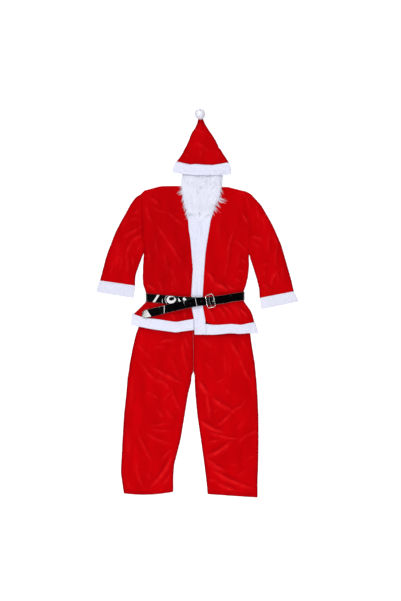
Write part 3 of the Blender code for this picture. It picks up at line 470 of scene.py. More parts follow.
def pillow(name, plan, low, high, edge):
    """A doubled band, closed all round: its two sides meet in a soft edge."""
    full = np.minimum.reduce([ease(span, edge) for span in spans(plan)])
    middle = low + (high - low) * 0.35
    upper = np.dstack([plan, middle + (high - middle) * full])
    lower = np.dstack([plan, middle - (middle - low) * full])[:, ::-1]
    mesh = stitch(name, np.concatenate([upper, lower[:, 1:-1]], axis=1)[:, ::-1], closed=True)
    with opened(mesh) as build:
        bmesh.ops.remove_doubles(build, verts=build.verts, dist=0.000005)
        bmesh.ops.dissolve_degenerate(build, edges=build.edges, dist=0.000002)
        bmesh.ops.recalc_face_normals(build, faces=build.faces)
    return mesh


def plush(name, tone=(0.745, 0.75, 0.87), clump=170.0):
    """Short white pile: soft clumps with shade between them and a pale sheen."""
    f = Finish(name)
    clumps, hairs = f.noise(clump, 4, 0.6), f.noise(1100, 3, 0.6)
    shaded = (tone[0] * 0.84, tone[1] * 0.84, tone[2] * 0.87)
    relief = f.bump(hairs, 0.0006, 0.6, Normal=f.bump(clumps, 0.0022, 0.55))
    return f.done(Base_Color=f.ramp(clumps, 0.32, 0.62, shaded, tone), Roughness=0.9,
                  Specular_IOR_Level=0.2, Sheen_Weight=0.35, Sheen_Roughness=0.5,
                  Sheen_Tint=(0.95, 0.96, 1, 1), Normal=relief)


def plush_band(name, node, corners, sides=(), roll=4.5):
    """A white plush trim on what is laid so far, from its CAD solid's outline."""
    long, wide = math.dist(corners[0], corners[3]), math.dist(corners[0], corners[1])
    plan = panel(node, corners, (long, 3.0, roll), (wide, 3.0, roll))
    if sides:
        stand_out(plan, sides)
    x, y = plan[..., 0], plan[..., 1]
    low = read_map(clearance(), x, y) + 0.25
    high = low + PLUSH_THICK + ripple(x, y, (0.45, 9, 0), (0.3, 4, 1))
    piece = add_piece(name, pillow(name, plan, low, high, roll), node)
    piece.data.shade_smooth()
    dress(piece, plush(name + "_pile"))
    note_top(piece)


plush_band("hem_trim_of_back", "hem_trim_back",
           ((-337, -114), (-332, -53), (283, -99), (310, -160)))
plush_band("neck_trim_of_back", "neck_trim_back",
           ((-62, 582), (-62, 642), (106, 639), (106, 579)))

# ---------------------------------------------------------------- back of the jacket
# One panel of red velour, a knitted polyester with a short dense pile, 1 to 1.5 mm thick.
# Its sides are seamed to the fronts and it takes the sleeves at the armholes.
VELOUR_THICK = 1.1


def velour(name, depth=1.0):
    """Red velour: short pile with its nap stroked in streaks; painted highlights on crests, painted
    shade in folds and at edges.
    """
    f = Finish(name)
    nap, hairs = f.noise(17, 4, 0.55, (1.0, 0.35, 1.0)), f.noise(1500, 3, 0.55)
    # depth darkens the whole piece's red, as painted shade for pieces that lie in dimmer light.
    red = f.ramp(nap, 0.3, 0.72, (0.44 * depth, 0.0006, 0.0022), (0.55 * depth, 0.0008, 0.0030))
    # Painted highlight along crease crests, then painted shade in folds, along seams and edges and
    # under the trims.
    red = f.tint(red, "painted_highlight", (0.80, 0.012, 0.014))
    red = f.tint(red, "painted_shade", (0.15, 0.0004, 0.003))
    relief = f.bump(hairs, 0.00035, 0.55, Normal=f.bump(nap, 0.0012, 0.35))
    return f.done(Base_Color=red, Roughness=0.78, Specular_IOR_Level=0.0, Sheen_Weight=0.12,
                  Sheen_Roughness=0.4, Sheen_Tint=(1.0, 0.03, 0.04, 1), Normal=relief)


def cloth_sheet(name, node, plan, top, painted_highlight, painted_shade, depth=1.0):
    """A single layer of velour with its upper side at given heights."""
    mesh = stitch(name, np.dstack([plan, top]), marks={"painted_highlight": painted_highlight, "painted_shade": painted_shade})
    piece = add_piece(name, mesh, node)
    modify(piece, "Wall", "SOLIDIFY", thickness=VELOUR_THICK * MM, offset=-1.0)
    dress(piece, velour(name + "_velour", depth))
    note_top(piece)
    return piece


BACK_CORNERS = ((-286, 554), (283, 546), (281, -100), (-334, -66))
plan = panel("jacket_back", BACK_CORNERS, (660, 8.0), (570, 8.0))
x, y = plan[..., 0], plan[..., 1]
top = read_map(clearance(), x, y) + VELOUR_THICK + GAP + ripple(x, y, (0.15, 40, 2))
# Painted shade along the back panel's edges.
painted_shade = 0.6 * np.exp(-np.minimum.reduce(spans(plan)) / 4.0)
back = cloth_sheet("back_panel", "jacket_back", plan, top, 0 * x, painted_shade)

# ---------------------------------------------------------------- trousers
# Each leg is one piece of velour seamed inside the leg; the two are joined at the centre seam
# and the waist is a turned casing inside the jacket. The hems are turned up and stitched, and
# packing has left long soft creases, most of them across the knee and shin.
HEM_TURN = 17.0                   # the hem's stitch line runs this far above its edge
SIDE_FOLD = 4.2                   # height of the rounded fold down a flattened tube's side
CROTCH = -366.0
CREASE_WIDTH, CREASE_HEIGHT = 0.76, 0.70     # shares of the widths and heights in the tables
# A crease is its two ends, its bend, its height and its width.
RIGHT_LEG_CREASES = (
    (-265, -172, -300, -159, 0, 3, 9), (-236, -283, -313, -207, 3, 4, 8),
    (-214, -395, -294, -293, -6, 5, 9), (-144, -439, -214, -395, 12, 6, 10),
    (-80, -407, -221, -331, -4, 6.5, 10), (-170, -388, -201, -376, 0, 2.5, 7),
    (-198, -490, -259, -449, 2, 4, 7), (-182, -509, -125, -446, 2, 3, 6),
    (-80, -560, -128, -436, -8, 4.5, 9), (-173, -586, -205, -541, 2, 4.5, 8),
    (-122, -595, -160, -548, 2, 4.5, 8), (-138, -618, -240, -627, 2, 3.6, 7),
    (-138, -656, -227, -643, -2, 3.8, 7), (-138, -717, -252, -669, -5, 4.5, 9),
    (-227, -809, -303, -656, -6, 4, 9), (-131, -752, -182, -803, 4, 5, 8),
    (-131, -790, -227, -930, -10, 8, 12), (-131, -866, -170, -924, -3, 6, 9),
    (-278, -937, -310, -815, -5, 4, 9), (-335, -943, -354, -911, -3, 3, 9),
    (-106, -188, -186, -203, 4, 4, 9), (-163, -232, -221, -226, 2, 3, 7),
    (-106, -241, -144, -241, 0, 2.5, 7), (-48, -337, -74, -210, -5, 5, 9),
    (-42, -236, -61, -178, 0, 4, 8), (-74, -407, -138, -261, -4, 2.5, 8),
    (-240, -898, -250, -868, 0, 3, 8), (-340, -520, -330, -380, 4, 2.5, 12),
    (-352, -800, -356, -640, 5, 2.5, 14),
)
LEFT_LEG_CREASES = (
    (73, -226, 22, -184, 3, 4, 9), (219, -280, 168, -191, -3, 5.5, 9),
    (270, -395, 219, -280, -6, 5.5, 9), (258, -242, 226, -191, 0, 4, 9),
    (136, -388, 88, -402, -6, 3.2, 8), (168, -465, 150, -440, 0, 3, 10),
    (57, -465, 10, -402, -3, 8, 13), (178, -552, 82, -486, -5, 9.5, 13),
    (62, -582, 50, -470, 4, 7, 12), (232, -524, 170, -566, 3, 7, 10),
    (170, -566, 108, -622, -4, 8, 11), (126, -660, 16, -606, -6, 10, 13),
    (210, -694, 62, -664, -4, 6.5, 7), (126, -702, 52, -714, 4, 5, 8),
    (170, -712, 50, -782, -8, 9, 13), (258, -672, 216, -710, 3, 4.5, 9),
    (303, -655, 258, -676, 2, 4, 9), (140, -856, 46, -794, -6, 8, 12),
    (280, -946, 90, -862, -6, 9.5, 12), (196, -958, 88, -908, -5, 7, 10),
    (96, -858, 54, -822, 2, 5, 8), (92, -911, 58, -903, 2, 4, 8), (204, -834, 176, -822, 2, 3, 8),
    (144, -369, 142, -262, 3, 2.6, 9), (170, -372, 160, -290, 2, 2.4, 8),
    (302, -470, 280, -242, 6, 3, 11), (246, -497, 214, -540, -2, 3.2, 8),
    (240, -612, 200, -640, 2, 2.8, 9), (288, -780, 252, -800, 2, 2.5, 10),
    (120, -540, 88, -560, 3, 3.5, 10), (70, -350, 40, -300, 3, 2.5, 9),
    (250, -860, 210, -880, 2, 2.5, 9),
)
# The trousers get a painted shadow just below this line.
TRIM_EDGE = ((-270, -131), (-180, -139), (-117, -153), (-56, -142), (-20, -141), (-10, -164),
             (127, -166), (250, -160))        # where the jacket's hem ends over the trousers
# inner is 0 or 1 where the other leg is on the left or on the right of it.
Leg = namedtuple("Leg", "side creases corners inner drop sides")
LEGS = (
    Leg("right", RIGHT_LEG_CREASES,
        ((-224, 36), (-26, 36), (-124, -966), (-371, -958)), 1, 6.5,
        ((-960, 2, 4), (-700, 3, 5), (-480, 3, 6), (-400, 2, 8), (-368, 1.5, 0.13),
         (-150, 3, 0.13))),
    Leg("left", LEFT_LEG_CREASES,
        ((-25, 36), (178, 36), (306, -993), (57, -976)), 0, 0.0,
        ((-990, 3, 3), (-850, 4, 6), (-700, 4, 8), (-500, 4, 7), (-400, 3, 6), (-368, 0.13, 5),
         (-150, 0.13, 3))),
)


def crease_field(x, y, creases):
    """A set of creases at plan points: height, painted highlights on the crests and painted shade
    beside them.
    """
    height, painted_highlight, painted_shade = np.zeros_like(x), np.zeros_like(x), np.zeros_like(x)
    uneven = ripple(x, y, (2.6, 38, 5), (0.9, 14, 6))
    broken = 0.62 + ripple(x, y, (0.38, 16, 1))
    for x0, y0, x1, y1, bend, rise, width in creases:
        run_x, run_y = x1 - x0, y1 - y0
        long = math.hypot(run_x, run_y)
        place = ((x - x0) * run_x + (y - y0) * run_y) / long ** 2
        inside = np.clip(place, 0, 1)
        aside = ((x - x0) * run_y - (y - y0) * run_x) / long
        aside = aside - bend * 4 * inside * (1 - inside) + uneven
        ends = smooth_step(np.minimum(place, 1 - place) + 0.2, 0.5)
        wide = CREASE_WIDTH * width * (0.55 + 0.45 * ends)
        near = np.where(aside > 0, aside / (0.62 * wide), -aside / (1.35 * wide))
        ridge = np.exp(-1.5 * (np.sqrt(near * near + 0.12) - 0.3464))
        beside = np.exp(-((aside - 1.6 * wide) / (0.85 * wide)) ** 2)
        height += CREASE_HEIGHT * rise * (ridge - 0.3 * beside) * ends
        # Painted highlight along each crest, broken up along it, and painted shade in the hollow
        # beside it.
        strong = min(1.0, abs(rise) / 9.0) * ends
        soft = np.exp(-((aside + 0.2 * wide) / (1.15 * wide)) ** 2)
        sharp = np.exp(-((aside - 0.1 * wide) / (0.34 * wide)) ** 2)
        painted_highlight = np.maximum(painted_highlight, strong * broken * (0.62 * soft + 0.42 * sharp))
        painted_shade = np.maximum(painted_shade, 0.42 * strong * beside * broken)
    return height, painted_highlight, painted_shade


def wander(x, y):
    """Small unevenness of cloth that has been folded and shaken out."""
    return ripple(x, y, (0.55, 62, 3), (0.12, 11, 6)) + ripple(x, y * 0.6, (0.30, 27, 4))


def swell(node, plan, flat, share, softness=30.0):
    """Heights from flat, where share is 0, up to the CAD solid's smoothed upper side at 1."""
    seen = cast_map(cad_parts[node].data)
    known = np.isfinite(seen)
    cells = int(round(softness / PILE_STEP))
    value, weight = blur(np.where(known, seen, 0.0), cells), blur(known.astype(float), cells)
    solid = np.where(weight > 0.02, value / np.maximum(weight, 0.02), 0.0)
    full = np.maximum(read_map(solid, plan[..., 0], plan[..., 1]), flat)
    return flat + (full - flat) * share


def cloth_tube(name, node, plan, low, high, painted_highlight, painted_shade, wall, material, skip=3, joined=0.0,
               cut=None):
    """A flattened tube of cloth, open at both ends, that may be joined to the next along a side."""
    a, b, _, _ = spans(plan)
    # Painted shade along the tube's two folded sides, weaker where it is joined to the next.
    edge = 0.78 * np.exp(-(np.minimum(a, b) / 7.5) ** 1.4)
    painted_shade = np.maximum(painted_shade, edge * (1 - 0.55 * joined))
    full = np.maximum(np.minimum(ease(a, 5.0), ease(b, 5.0)), 0.8 * joined)
    middle = low + SIDE_FOLD / 2
    upper = np.dstack([plan, middle + (high - middle) * full])
    lower = np.dstack([plan, middle - (middle - low) * full])
    count = plan.shape[1]
    inner = list(range(5, count - 5, skip))
    keep = list(range(1, 5)) + inner + list(range(max(inner[-1] + 1, count - 5), count - 1))
    keep = keep[::-1]
    rings = np.concatenate([upper, lower[:, keep]], axis=1)[:, ::-1]
    marks = {"painted_highlight": np.concatenate([painted_highlight, 0 * painted_highlight[:, keep]], axis=1)[:, ::-1],
             "painted_shade": np.concatenate([painted_shade, painted_shade[:, keep]], axis=1)[:, ::-1]}
    piece = add_piece(name, stitch(name, rings, closed=True, marks=marks), node)
    with opened(piece.data) as build:
        bmesh.ops.recalc_face_normals(build, faces=build.faces)
        level = sum(face.calc_center_median().z for face in build.faces) / len(build.faces)
        if sum(face.normal.z * (face.calc_center_median().z - level) for face in build.faces) < 0:
            bmesh.ops.reverse_faces(build, faces=build.faces)
    modify(piece, "Wall", "SOLIDIFY", thickness=wall * MM, offset=-1.0)
    dress(piece, material)
    a, b, c, d = cut or spans(plan)
    note_top(piece)


for leg in LEGS:
    name, node = f"leg_of_{leg.side}_side", "trouser_leg_" + leg.side
    plan = panel(node, leg.corners, (1000, 5.4), (280, 5.4))
    stand_out(plan, leg.sides)
    plan[..., 1] -= leg.drop * smooth_step(80 - spans(plan)[3], 80)
    x, y = plan[..., 0], plan[..., 1]
    a, b, waist, hem = spans(plan)
    joined = smooth_step(y - CROTCH, 40) * smooth_step(20 - (a, b)[leg.inner], 12)
    side = smooth_step(np.minimum(a, b), 24)
    worn = smooth_step(waist - 120, 80)
    lift, painted_highlight, painted_shade = crease_field(x, y, leg.creases)
    low = read_map(clearance(), x, y) + GAP
    flat = low + 2 * VELOUR_THICK + 1.2 + 1.6 * side
    high = swell(node, plan, flat, smooth_step(np.minimum(a, b), 40))
    high = high + (lift + wander(x, y)) * side * worn * smooth_step(hem, 10)
    turned = np.exp(-((hem - HEM_TURN) / 1.6) ** 2)
    pucker = ripple(x, y, (0.5, 13, 1)) * smooth_step(34 - hem, 20)
    high = high + side * (pucker - 0.9 * turned) + 0.5 * smooth_step(HEM_TURN - hem, 3)
    # Painted shade in the creases, at the hem's stitch line and its edge, and a painted shadow just
    # below the jacket's hem trims.
    below = np.maximum(np.interp(x, *zip(*TRIM_EDGE)) - y, 0)
    painted_shade = np.maximum.reduce([
        painted_shade * side * worn, 0.35 * turned * side, 0.70 * np.exp(-(hem / 6.0) ** 1.5),
        0.55 * np.exp(-below / 7.0) + 0.16 * np.exp(-(below / 40.0) ** 2)])
    cloth_tube(name, node, plan, low, high, painted_highlight * side * worn, painted_shade, VELOUR_THICK,
               velour(name + "_velour"), joined=joined)

# ---------------------------------------------------------------- fronts of the jacket
# Two open fronts of the same velour, seamed to the back at the shoulders and sides, the wearer's
# left one laid over the right and both drawn in by the belt. The same doubled plush is stitched
# over the raw edge of each, along its hem and its opening.
BELT_GRIP = 25.0                  # the belt presses the fronts flat this far from its centre
RIGHT_FRONT_CREASES = (
    (-68, 392, -152, 458, 3, 4.5, 8), (-152, 458, -229, 483, -3, 2.6, 9),
    (-156, 319, -200, 385, 3, 4.5, 8), (-83, 203, -156, 319, 4, 5.5, 8),
    (-101, 72, -141, 188, 4, 3, 9), (-207, 246, -214, 334, 2, 2.6, 10),
    (-150, 150, -172, 250, 3, 2.2, 11), (-39, 86, -54, 173, 2, 3, 8),
    (-214, 62, -256, 96, 2, 5, 9), (-176, 56, -198, 108, 2, 3.5, 8),
    (-120, 60, -128, 118, 2, 3, 8), (-240, 190, -258, 286, 4, 3, 12),
    (-196, 500, -250, 540, 3, 3, 12), (-232, 405, -262, 500, -4, -3.5, 9),
    (-112, -89, -128, -50, 0, 4, 9), (-60, -86, -66, -36, 0, 3.5, 8),
    (-230, -74, -204, -34, 3, 4, 11), (-282, -62, -246, -18, 4, 4, 11),
)
LEFT_FRONT_CREASES = (
    (262, 402, 228, 456, 3, 5.5, 8), (160, 210, 183, 356, -8, 5, 9),
    (146, 130, 158, 210, -3, 3, 9), (246, 266, 195, 314, 4, 5, 8), (252, 548, 206, 562, 3, 3, 9),
    (264, 480, 256, 534, 0, 3.5, 7), (88, 98, 50, 158, 4, 7, 10), (158, 56, 84, 102, 4, 9, 12),
    (196, 62, 150, 84, 2, 5, 9), (224, 100, 195, 124, 2, 4.5, 8), (253, 201, 226, 219, 2, 4, 8),
    (240, 150, 214, 166, 2, 3, 8), (118, 300, 110, 420, -4, 2.4, 12),
    (208, 180, 214, 250, -2, 2.4, 9), (146, -84, 104, -20, 4, 6.5, 10),
    (180, -70, 134, -12, 4, 6, 9), (226, -76, 178, -12, 4, 4.5, 9), (256, -72, 200, -20, 4, 6, 9),
    (90, -98, 54, -26, 3, 5.5, 10), (262, -36, 232, -6, 2, 4, 9),
)
# A front's depth darkens its whole red, as painted shade.
# outer is 0 or 1 where the side seam is on the left or on the right of it.
Front = namedtuple("Front", "side creases corners outer flat area sides depth "
                            "hem hem_sides band roll")
FRONTS = (
    Front("right", RIGHT_FRONT_CREASES,
          ((-286, 554), (-62, 588), (-7, -94), (-334, -66)), 0, (0.33, 0.70), 0.178,
          ((-70, 0, 0), (-38, 5, 0), (-7, 9, 0), (20, 3, 0), (54, 6, 0), (85, 8, 0), (125, 3, 0),
           (150, 0, 0), (205, 0, 0), (235, -4, 0), (262, -8, 0), (290, -8, 0), (330, 0, 0)), 0.87,
          ((-337, -114), (-332, -53), (-16, -83), (-16, -139)), (),
          ((-70, 588), (-12, 588), (44, -139), (-14, -139)), 4.5),
    Front("left", LEFT_FRONT_CREASES,
          ((100, 588), (283, 546), (281, -100), (35, -118)), 1, (0.27, 0.71), 0.158,
          ((-100, 0, 11), (-68, 0, 12), (-38, 0, 9), (-7, 0, 4), (30, 0, 0), (54, 0, 0),
           (85, 0, 6), (130, 0, 8), (176, 0, 5), (210, 0, 0)), 0.98,
          ((45, -107), (283, -99), (310, -160), (47, -163)), ((-160, 10, 4), (-99, 10, 14)),
          ((50, 588), (108, 588), (46, -163), (-12, -163)), 9.0),
)
for front in FRONTS:
    node = "jacket_front_" + front.side
    plan = panel(node, front.corners, (700, 5.0), (260, 5.0))
    stand_out(plan, front.sides)
    x, y = plan[..., 0], plan[..., 1]
    a, b, shoulder, hem = spans(plan)
    outer, inner = (a, b)[front.outer], (b, a)[front.outer]
    lying = read_map(clearance(9.0), x, y) + VELOUR_THICK + 0.25
    seams = np.minimum(outer, shoulder)
    gripped = np.abs(y - belt_line(x)) - BELT_GRIP
    free = smooth_step(gripped, 22)
    lift, painted_highlight, painted_shade = crease_field(x, y, front.creases)
    loose = smooth_step(seams, 26) * smooth_step(inner, 16) * smooth_step(hem, 14) * free
    pucker = ripple(x, y * 0.3, (1.5, 17, 7)) * smooth_step(60 - gripped, 60) * free
    top = swell(node, plan, lying, smooth_step(seams, 46))
    top = np.maximum(top + loose * (lift + 1.1 * wander(x, y) + pucker), lying)
    # Painted shade along the side seam and shoulder, stronger below the armpit than along the
    # armhole.
    seam_shade = 0.14 + 0.5 * smooth_step(290 - y, 40)
    painted_shade = np.maximum(painted_shade * loose, seam_shade * np.exp(-(seams / 5.0) ** 1.5))
    piece = cloth_sheet("front_panel_" + front.side, node, plan, top, painted_highlight * loose, painted_shade,
                        front.depth)
    plush_band(f"hem_trim_of_{front.side}_front", "hem_trim_" + front.side, front.hem,
               front.hem_sides)
    plush_band("front_band_of_" + front.side, "front_band_" + front.side, front.band,
               roll=front.roll)

# ---------------------------------------------------------------- sleeves and cuffs
# Each sleeve is one piece of velour seamed under the arm and set into the armhole. It ends
# in a wide cuff of white plush, sewn on as a tube.
RIGHT_SLEEVE_CREASES = (
    (-266, 394, -304, 374, 2, 6, 9), (-304, 374, -366, 336, 3, 6, 10),
    (-276, 346, -331, 312, 3, 5, 9), (-331, 312, -367, 217, 6, 4.5, 10),
    (-300, 474, -318, 448, 0, 4, 8), (-300, 426, -340, 420, 2, 3, 8),
    (-352, 158, -349, 220, 0, 4, 8), (-327, 192, -325, 236, 0, 3.5, 8),
    (-380, 224, -412, 230, 2, 3, 8), (-284, 300, -306, 262, 3, 3.5, 8),
    (-392, 168, -384, 268, 4, 2.6, 9), (-420, 180, -400, 300, 5, 2.4, 12),
    (-350, 440, -388, 372, 4, 2.4, 12), (-440, 150, -428, 210, 3, 2.2, 10),
)
LEFT_SLEEVE_CREASES = (
    (334, 318, 284, 338, 2, 6, 9), (320, 388, 302, 393, 0, 3.5, 8),
    (320, 282, 288, 306, -2, 4.5, 9), (410, 290, 389, 358, -3, 5, 7),
    (401, 188, 410, 290, -4, 5, 7), (376, 90, 402, 154, -3, 6.5, 9), (413, 100, 405, 160, 3, 5, 8),
    (366, 66, 335, 94, 2, 5.5, 9), (370, 188, 336, 196, 2, 3.5, 8),
    (350, 130, 340, 168, 2, 3.5, 8), (362, 262, 372, 350, -4, 2.6, 11),
    (326, 440, 346, 380, -4, 2.6, 11), (302, 470, 316, 420, -2, 3, 9),
    (440, 110, 444, 190, -4, 2.4, 12),
)
ARMHOLE_DIP = 3.4                 # height of the cloth along the armhole seam
CUFF_SEAM_DROP = 5.5              # the sleeve's cloth rolls this far over the cuff's seam
# A sleeve's depth darkens its whole red, as painted shade.
Sleeve = namedtuple("Sleeve", "side creases corners cuff_corners sides cuff_sides tuck depth tone")
SLEEVES = (
    Sleeve("right", RIGHT_SLEEVE_CREASES,
           ((-286.5, 554), (-278.5, 278), (-315, 92), (-495, 118)),
           ((-496, 118), (-315, 92), (-325, 23), (-512.6, 54)),
           ((60, 0, 0), (115, 0, 0), (146, 0, 2), (180, 0, 6), (240, 1, 10), (256, 1, 13),
            (290, 1, 9), (330, 2, 0), (550, 3, 0)), ((20, 1, 1), (118, 2, 0)), 3.0, 0.93,
           (0.70, 0.705, 0.81)),
    Sleeve("left", LEFT_SLEEVE_CREASES,
           ((269.5, 268), (283.5, 546), (489, 63), (320, 29)),
           ((320, 29), (489, 63), (512.6, 5), (329, -34)),
           ((30, 1, 5), (180, 1, 6), (236, 3, 6), (252, 9, 6), (290, 5, 6), (370, 0, 8),
            (500, 0, 7), (546, 0, 3)), ((-34, 1, 4), (63, 1, 5)), -3.0, 1.0,
           (0.755, 0.75, 0.86)),
)
for sleeve in SLEEVES:
    node = "sleeve_" + sleeve.side
    plan = panel(node, sleeve.corners, (390, 5.0), (220, 5.0))
    a, b, armhole, wrist = spans(plan)
    below_arm = (a if sleeve.side == "right" else b) / (a + b)
    stand_out(plan, sleeve.sides, np.maximum(smooth_step(armhole, 60), below_arm ** 2))
    plan[..., 0] += sleeve.tuck * (1 - smooth_step(armhole, 14))
    plan[..., 1] -= CUFF_SEAM_DROP * smooth_step(60 - wrist, 60)
    x, y = plan[..., 0], plan[..., 1]
    a, b, armhole, wrist = spans(plan)
    side = smooth_step(np.minimum(a, b), 24)
    lift, painted_highlight, painted_shade = crease_field(x, y, sleeve.creases)
    low = np.full_like(x, GAP)
    flat = low + 2 * VELOUR_THICK + 1.0 + 1.4 * side
    high = swell(node, plan, flat, smooth_step(np.minimum(a, b), 40))
    loose = side * smooth_step(armhole, 16) * smooth_step(wrist, 12)
    high = high + (lift + wander(x, y)) * loose
    high = low + ARMHOLE_DIP + (high - low - ARMHOLE_DIP) * ease(armhole, 12)
    # Painted shade along the armhole seam.
    painted_shade = np.maximum(painted_shade * loose, 0.13 * np.exp(-(armhole / 5.0) ** 1.5))
    cloth_tube("sleeve_of_" + sleeve.side, node, plan, low, high, painted_highlight * loose, painted_shade,
               VELOUR_THICK, velour("sleeve_velour_" + sleeve.side, sleeve.depth))

    node = "cuff_" + sleeve.side
    plan = panel(node, sleeve.cuff_corners, (70, 3.0, 2.6), (190, 3.4))
    stand_out(plan, sleeve.cuff_sides)
    _, _, upper, edge = spans(plan)
    plan[..., 1] -= CUFF_SEAM_DROP * edge / (upper + edge)
    x, y = plan[..., 0], plan[..., 1]
    a, b, upper, edge = spans(plan)
    ends = np.minimum(ease(upper, 3.0), ease(edge, 3.0))
    high = 8.2 + 1.6 * smooth_step(np.minimum(a, b), 30) - 1.4 * (1 - ends)
    high = high + ripple(x, y, (0.5, 9, 0), (0.9, 36, 2), (0.3, 4, 1))
    cloth_tube("cuff_of_" + sleeve.side, node, plan, GAP + 0.8 * (1 - ends), high, 0 * x, 0 * x,
               2.6, plush("cuff_pile_" + sleeve.side, sleeve.tone), skip=2)

# ---------------------------------------------------------------- beard
# Long white synthetic hair, sewn in rows on a light backing and combed down to a point. It is
# worn on a hidden elastic, so here it lies between the hat and the jacket's neckline.
BEARD_LEFT = ((416, 10), (432, 6), (440, -6), (450, -34), (465, -53), (506, -64), (540, -70),
              (569, -76), (603, -80), (651, -78), (670, -76))
BEARD_RIGHT = ((416, 20), (432, 24), (440, 36), (450, 60), (465, 79), (498, 88), (527, 108),
               (569, 121), (603, 130), (651, 134), (670, 132))
COMBED_LEFT = ((425, -38), (465, -50), (506, -62), (603, -81), (670, -78))
COMBED_RIGHT = ((425, 62), (465, 77), (506, 100), (603, 132), (670, 135))
# Painted shade darkens the hair at the mouth, a thin spot and the neck gap; the backing also dips
# at the first two.
MOUTH = (20.4, 583.6)
THIN_SPOT = (5.0, 560.0)
NECK_GAP = (12.5, 455.0)          # painted shade where the beard's point meets the jacket's opening
STRANDS = 3600
SIDE_TUFTS = (                    # root, tip, spread and half the number of hairs
    (-66, 578, -105, 555, 7, 7), (-66, 566, -96, 546, 6, 8), (-62, 546, -78, 508, 6, 10),
    (-56, 524, -72, 488, 5, 10), (-52, 500, -67, 462, 5, 10), (-46, 478, -60, 438, 5, 10),
    (-42, 462, -52, 424, 4, 8), (108, 588, 128, 566, 6, 8), (104, 568, 124, 540, 6, 9),
    (88, 536, 158, 519, 7, 9), (84, 528, 150, 505, 6, 8), (74, 516, 124, 483, 8, 10),
    (70, 500, 108, 468, 6, 9), (64, 486, 88, 446, 6, 9),
)
FRINGE, HAIRS = 22, 4             # small wisps down each side and the hairs in one


def side_of(table, y):
    """Where a side of the beard or brim runs, from a table of places along it."""
    return np.interp(y, *zip(*table))


def side_to_side(left, right, y, share):
    """Places a share of the way from one side to the other."""
    return side_of(left, y) * (1 - share) + side_of(right, y) * share


def hollow_at(x, y, spot, wide, tall):
    """1 in the middle of a spot, fading to 0 over its two half widths."""
    return np.exp(-((x - spot[0]) / wide) ** 2 - ((y - spot[1]) / tall) ** 2)


def shade_of(x, y, base):
    """How deep the hair is shaded at plan points."""
    return (base + 0.40 * hollow_at(x, y, MOUTH, 9, 6) + 0.20 * hollow_at(x, y, THIN_SPOT, 7, 6)
            + 0.62 * hollow_at(x, y, NECK_GAP, 3.5, 4.0)
            + 0.22 * hollow_at(x, y, (NECK_GAP[0] + 1.0, NECK_GAP[1] - 14.0), 4.0, 6))


def hair(name, tone=(0.84, 0.845, 0.945)):
    """White synthetic hair, a little shaded deep between the locks."""
    f = Finish(name)
    streaks = f.noise(420.0, 3, stretch=(1.0, 0.12, 1.0))
    white = f.ramp(streaks, 0.3, 0.65, (tone[0] * 0.93, tone[1] * 0.93, tone[2] * 0.94), tone)
    return f.done(Base_Color=f.tint(white, "shade", (0.17, 0.16, 0.22)), Roughness=0.55,
                  Specular_IOR_Level=0.25, Sheen_Weight=0.25, Sheen_Roughness=0.4,
                  Normal=f.bump(streaks, 0.0006, 0.5))


def add_locks(name, node, lines, widths, shade, flat, material):
    """Tapered three-sided locks of hair along lines of points, with a shade for each point."""
    count, steps = lines.shape[:2]
    run = np.gradient(lines, axis=1)
    run /= np.linalg.norm(run, axis=2, keepdims=True) + 1e-9
    side = np.cross(run, np.array([0.13, 0.07, 0.99]))
    side /= np.linalg.norm(side, axis=2, keepdims=True) + 1e-9
    lift = np.cross(side, run)
    share = np.linspace(0, 1, steps)
    taper = np.where(share < 0.35, 0.55 + 1.1 * share, 1.0 - 0.93 * share ** 1.7)
    w = widths[:, None, None] * taper[None, :, None]
    ring = np.stack([-side * w / 2, side * w / 2, lift * w * flat], axis=2)
    first = (np.arange(count) * steps * 3)[:, None]
    k = first + np.arange(steps - 1) * 3
    quads = [np.stack([k + j, k + (j + 1) % 3, k + 3 + (j + 1) % 3, k + 3 + j], axis=-1)
             for j in range(3)]
    last = first + (steps - 1) * 3
    ends = np.concatenate([np.hstack([first + 2, first + 1, first]),
                           np.hstack([last, last + 1, last + 2])])
    mesh = bpy.data.meshes.new(name)
    mesh.from_pydata(((lines[:, :, None] + ring) * MM).reshape(-1, 3).tolist(), [],
                     np.concatenate(quads).reshape(-1, 4).tolist() + ends.tolist())
    mark(mesh, "shade", np.repeat(shade.ravel(), 3))
    mesh.update()
    mesh.shade_smooth()
    piece = add_piece(name, mesh, node)
    dress(piece, material)
    return piece


rows = np.linspace(669, 416, 73)[:, None]
shares = np.concatenate([[0, 0.006, 0.018, 0.036], np.linspace(0.06, 0.94, 45),
                         [0.964, 0.982, 0.994, 1]])[None, :]
x = side_to_side(BEARD_LEFT, BEARD_RIGHT, rows, shares)
y = np.broadcast_to(rows, x.shape)
plan = np.dstack([x, y])
a, b, _, below = spans(plan)
low = read_map(clearance(12.0), x, y) + 0.25
low = low + (read_map(pile, x, y) + 0.1 - low) * (1 - smooth_step(below, 50))
depth = 0.15 + 6.6 * smooth_step(np.minimum(a, b), 40) * smooth_step(below - 4, 125)
combed = ripple(x, y * 0.5, (1.1, 17, 1), (0.4, 7, 2))
depth = depth + smooth_step(np.minimum(a, b), 14) * smooth_step(below, 50) * combed
depth = np.maximum(depth - 3.0 * hollow_at(x, y, MOUTH, 9, 6)
                   - 1.5 * hollow_at(x, y, THIN_SPOT, 7, 5), 0.15)
bed = add_piece("beard_hair_bed", pillow("beard_hair_bed", plan, low, low + depth, 3.0), "beard")
spots = np.array([v.co for v in bed.data.vertices]) / MM
mark(bed.data, "shade", shade_of(spots[:, 0], spots[:, 1], 0.03))
bed.data.shade_smooth()
dress(bed, hair("beard_bed_hair"))
note_top(bed)

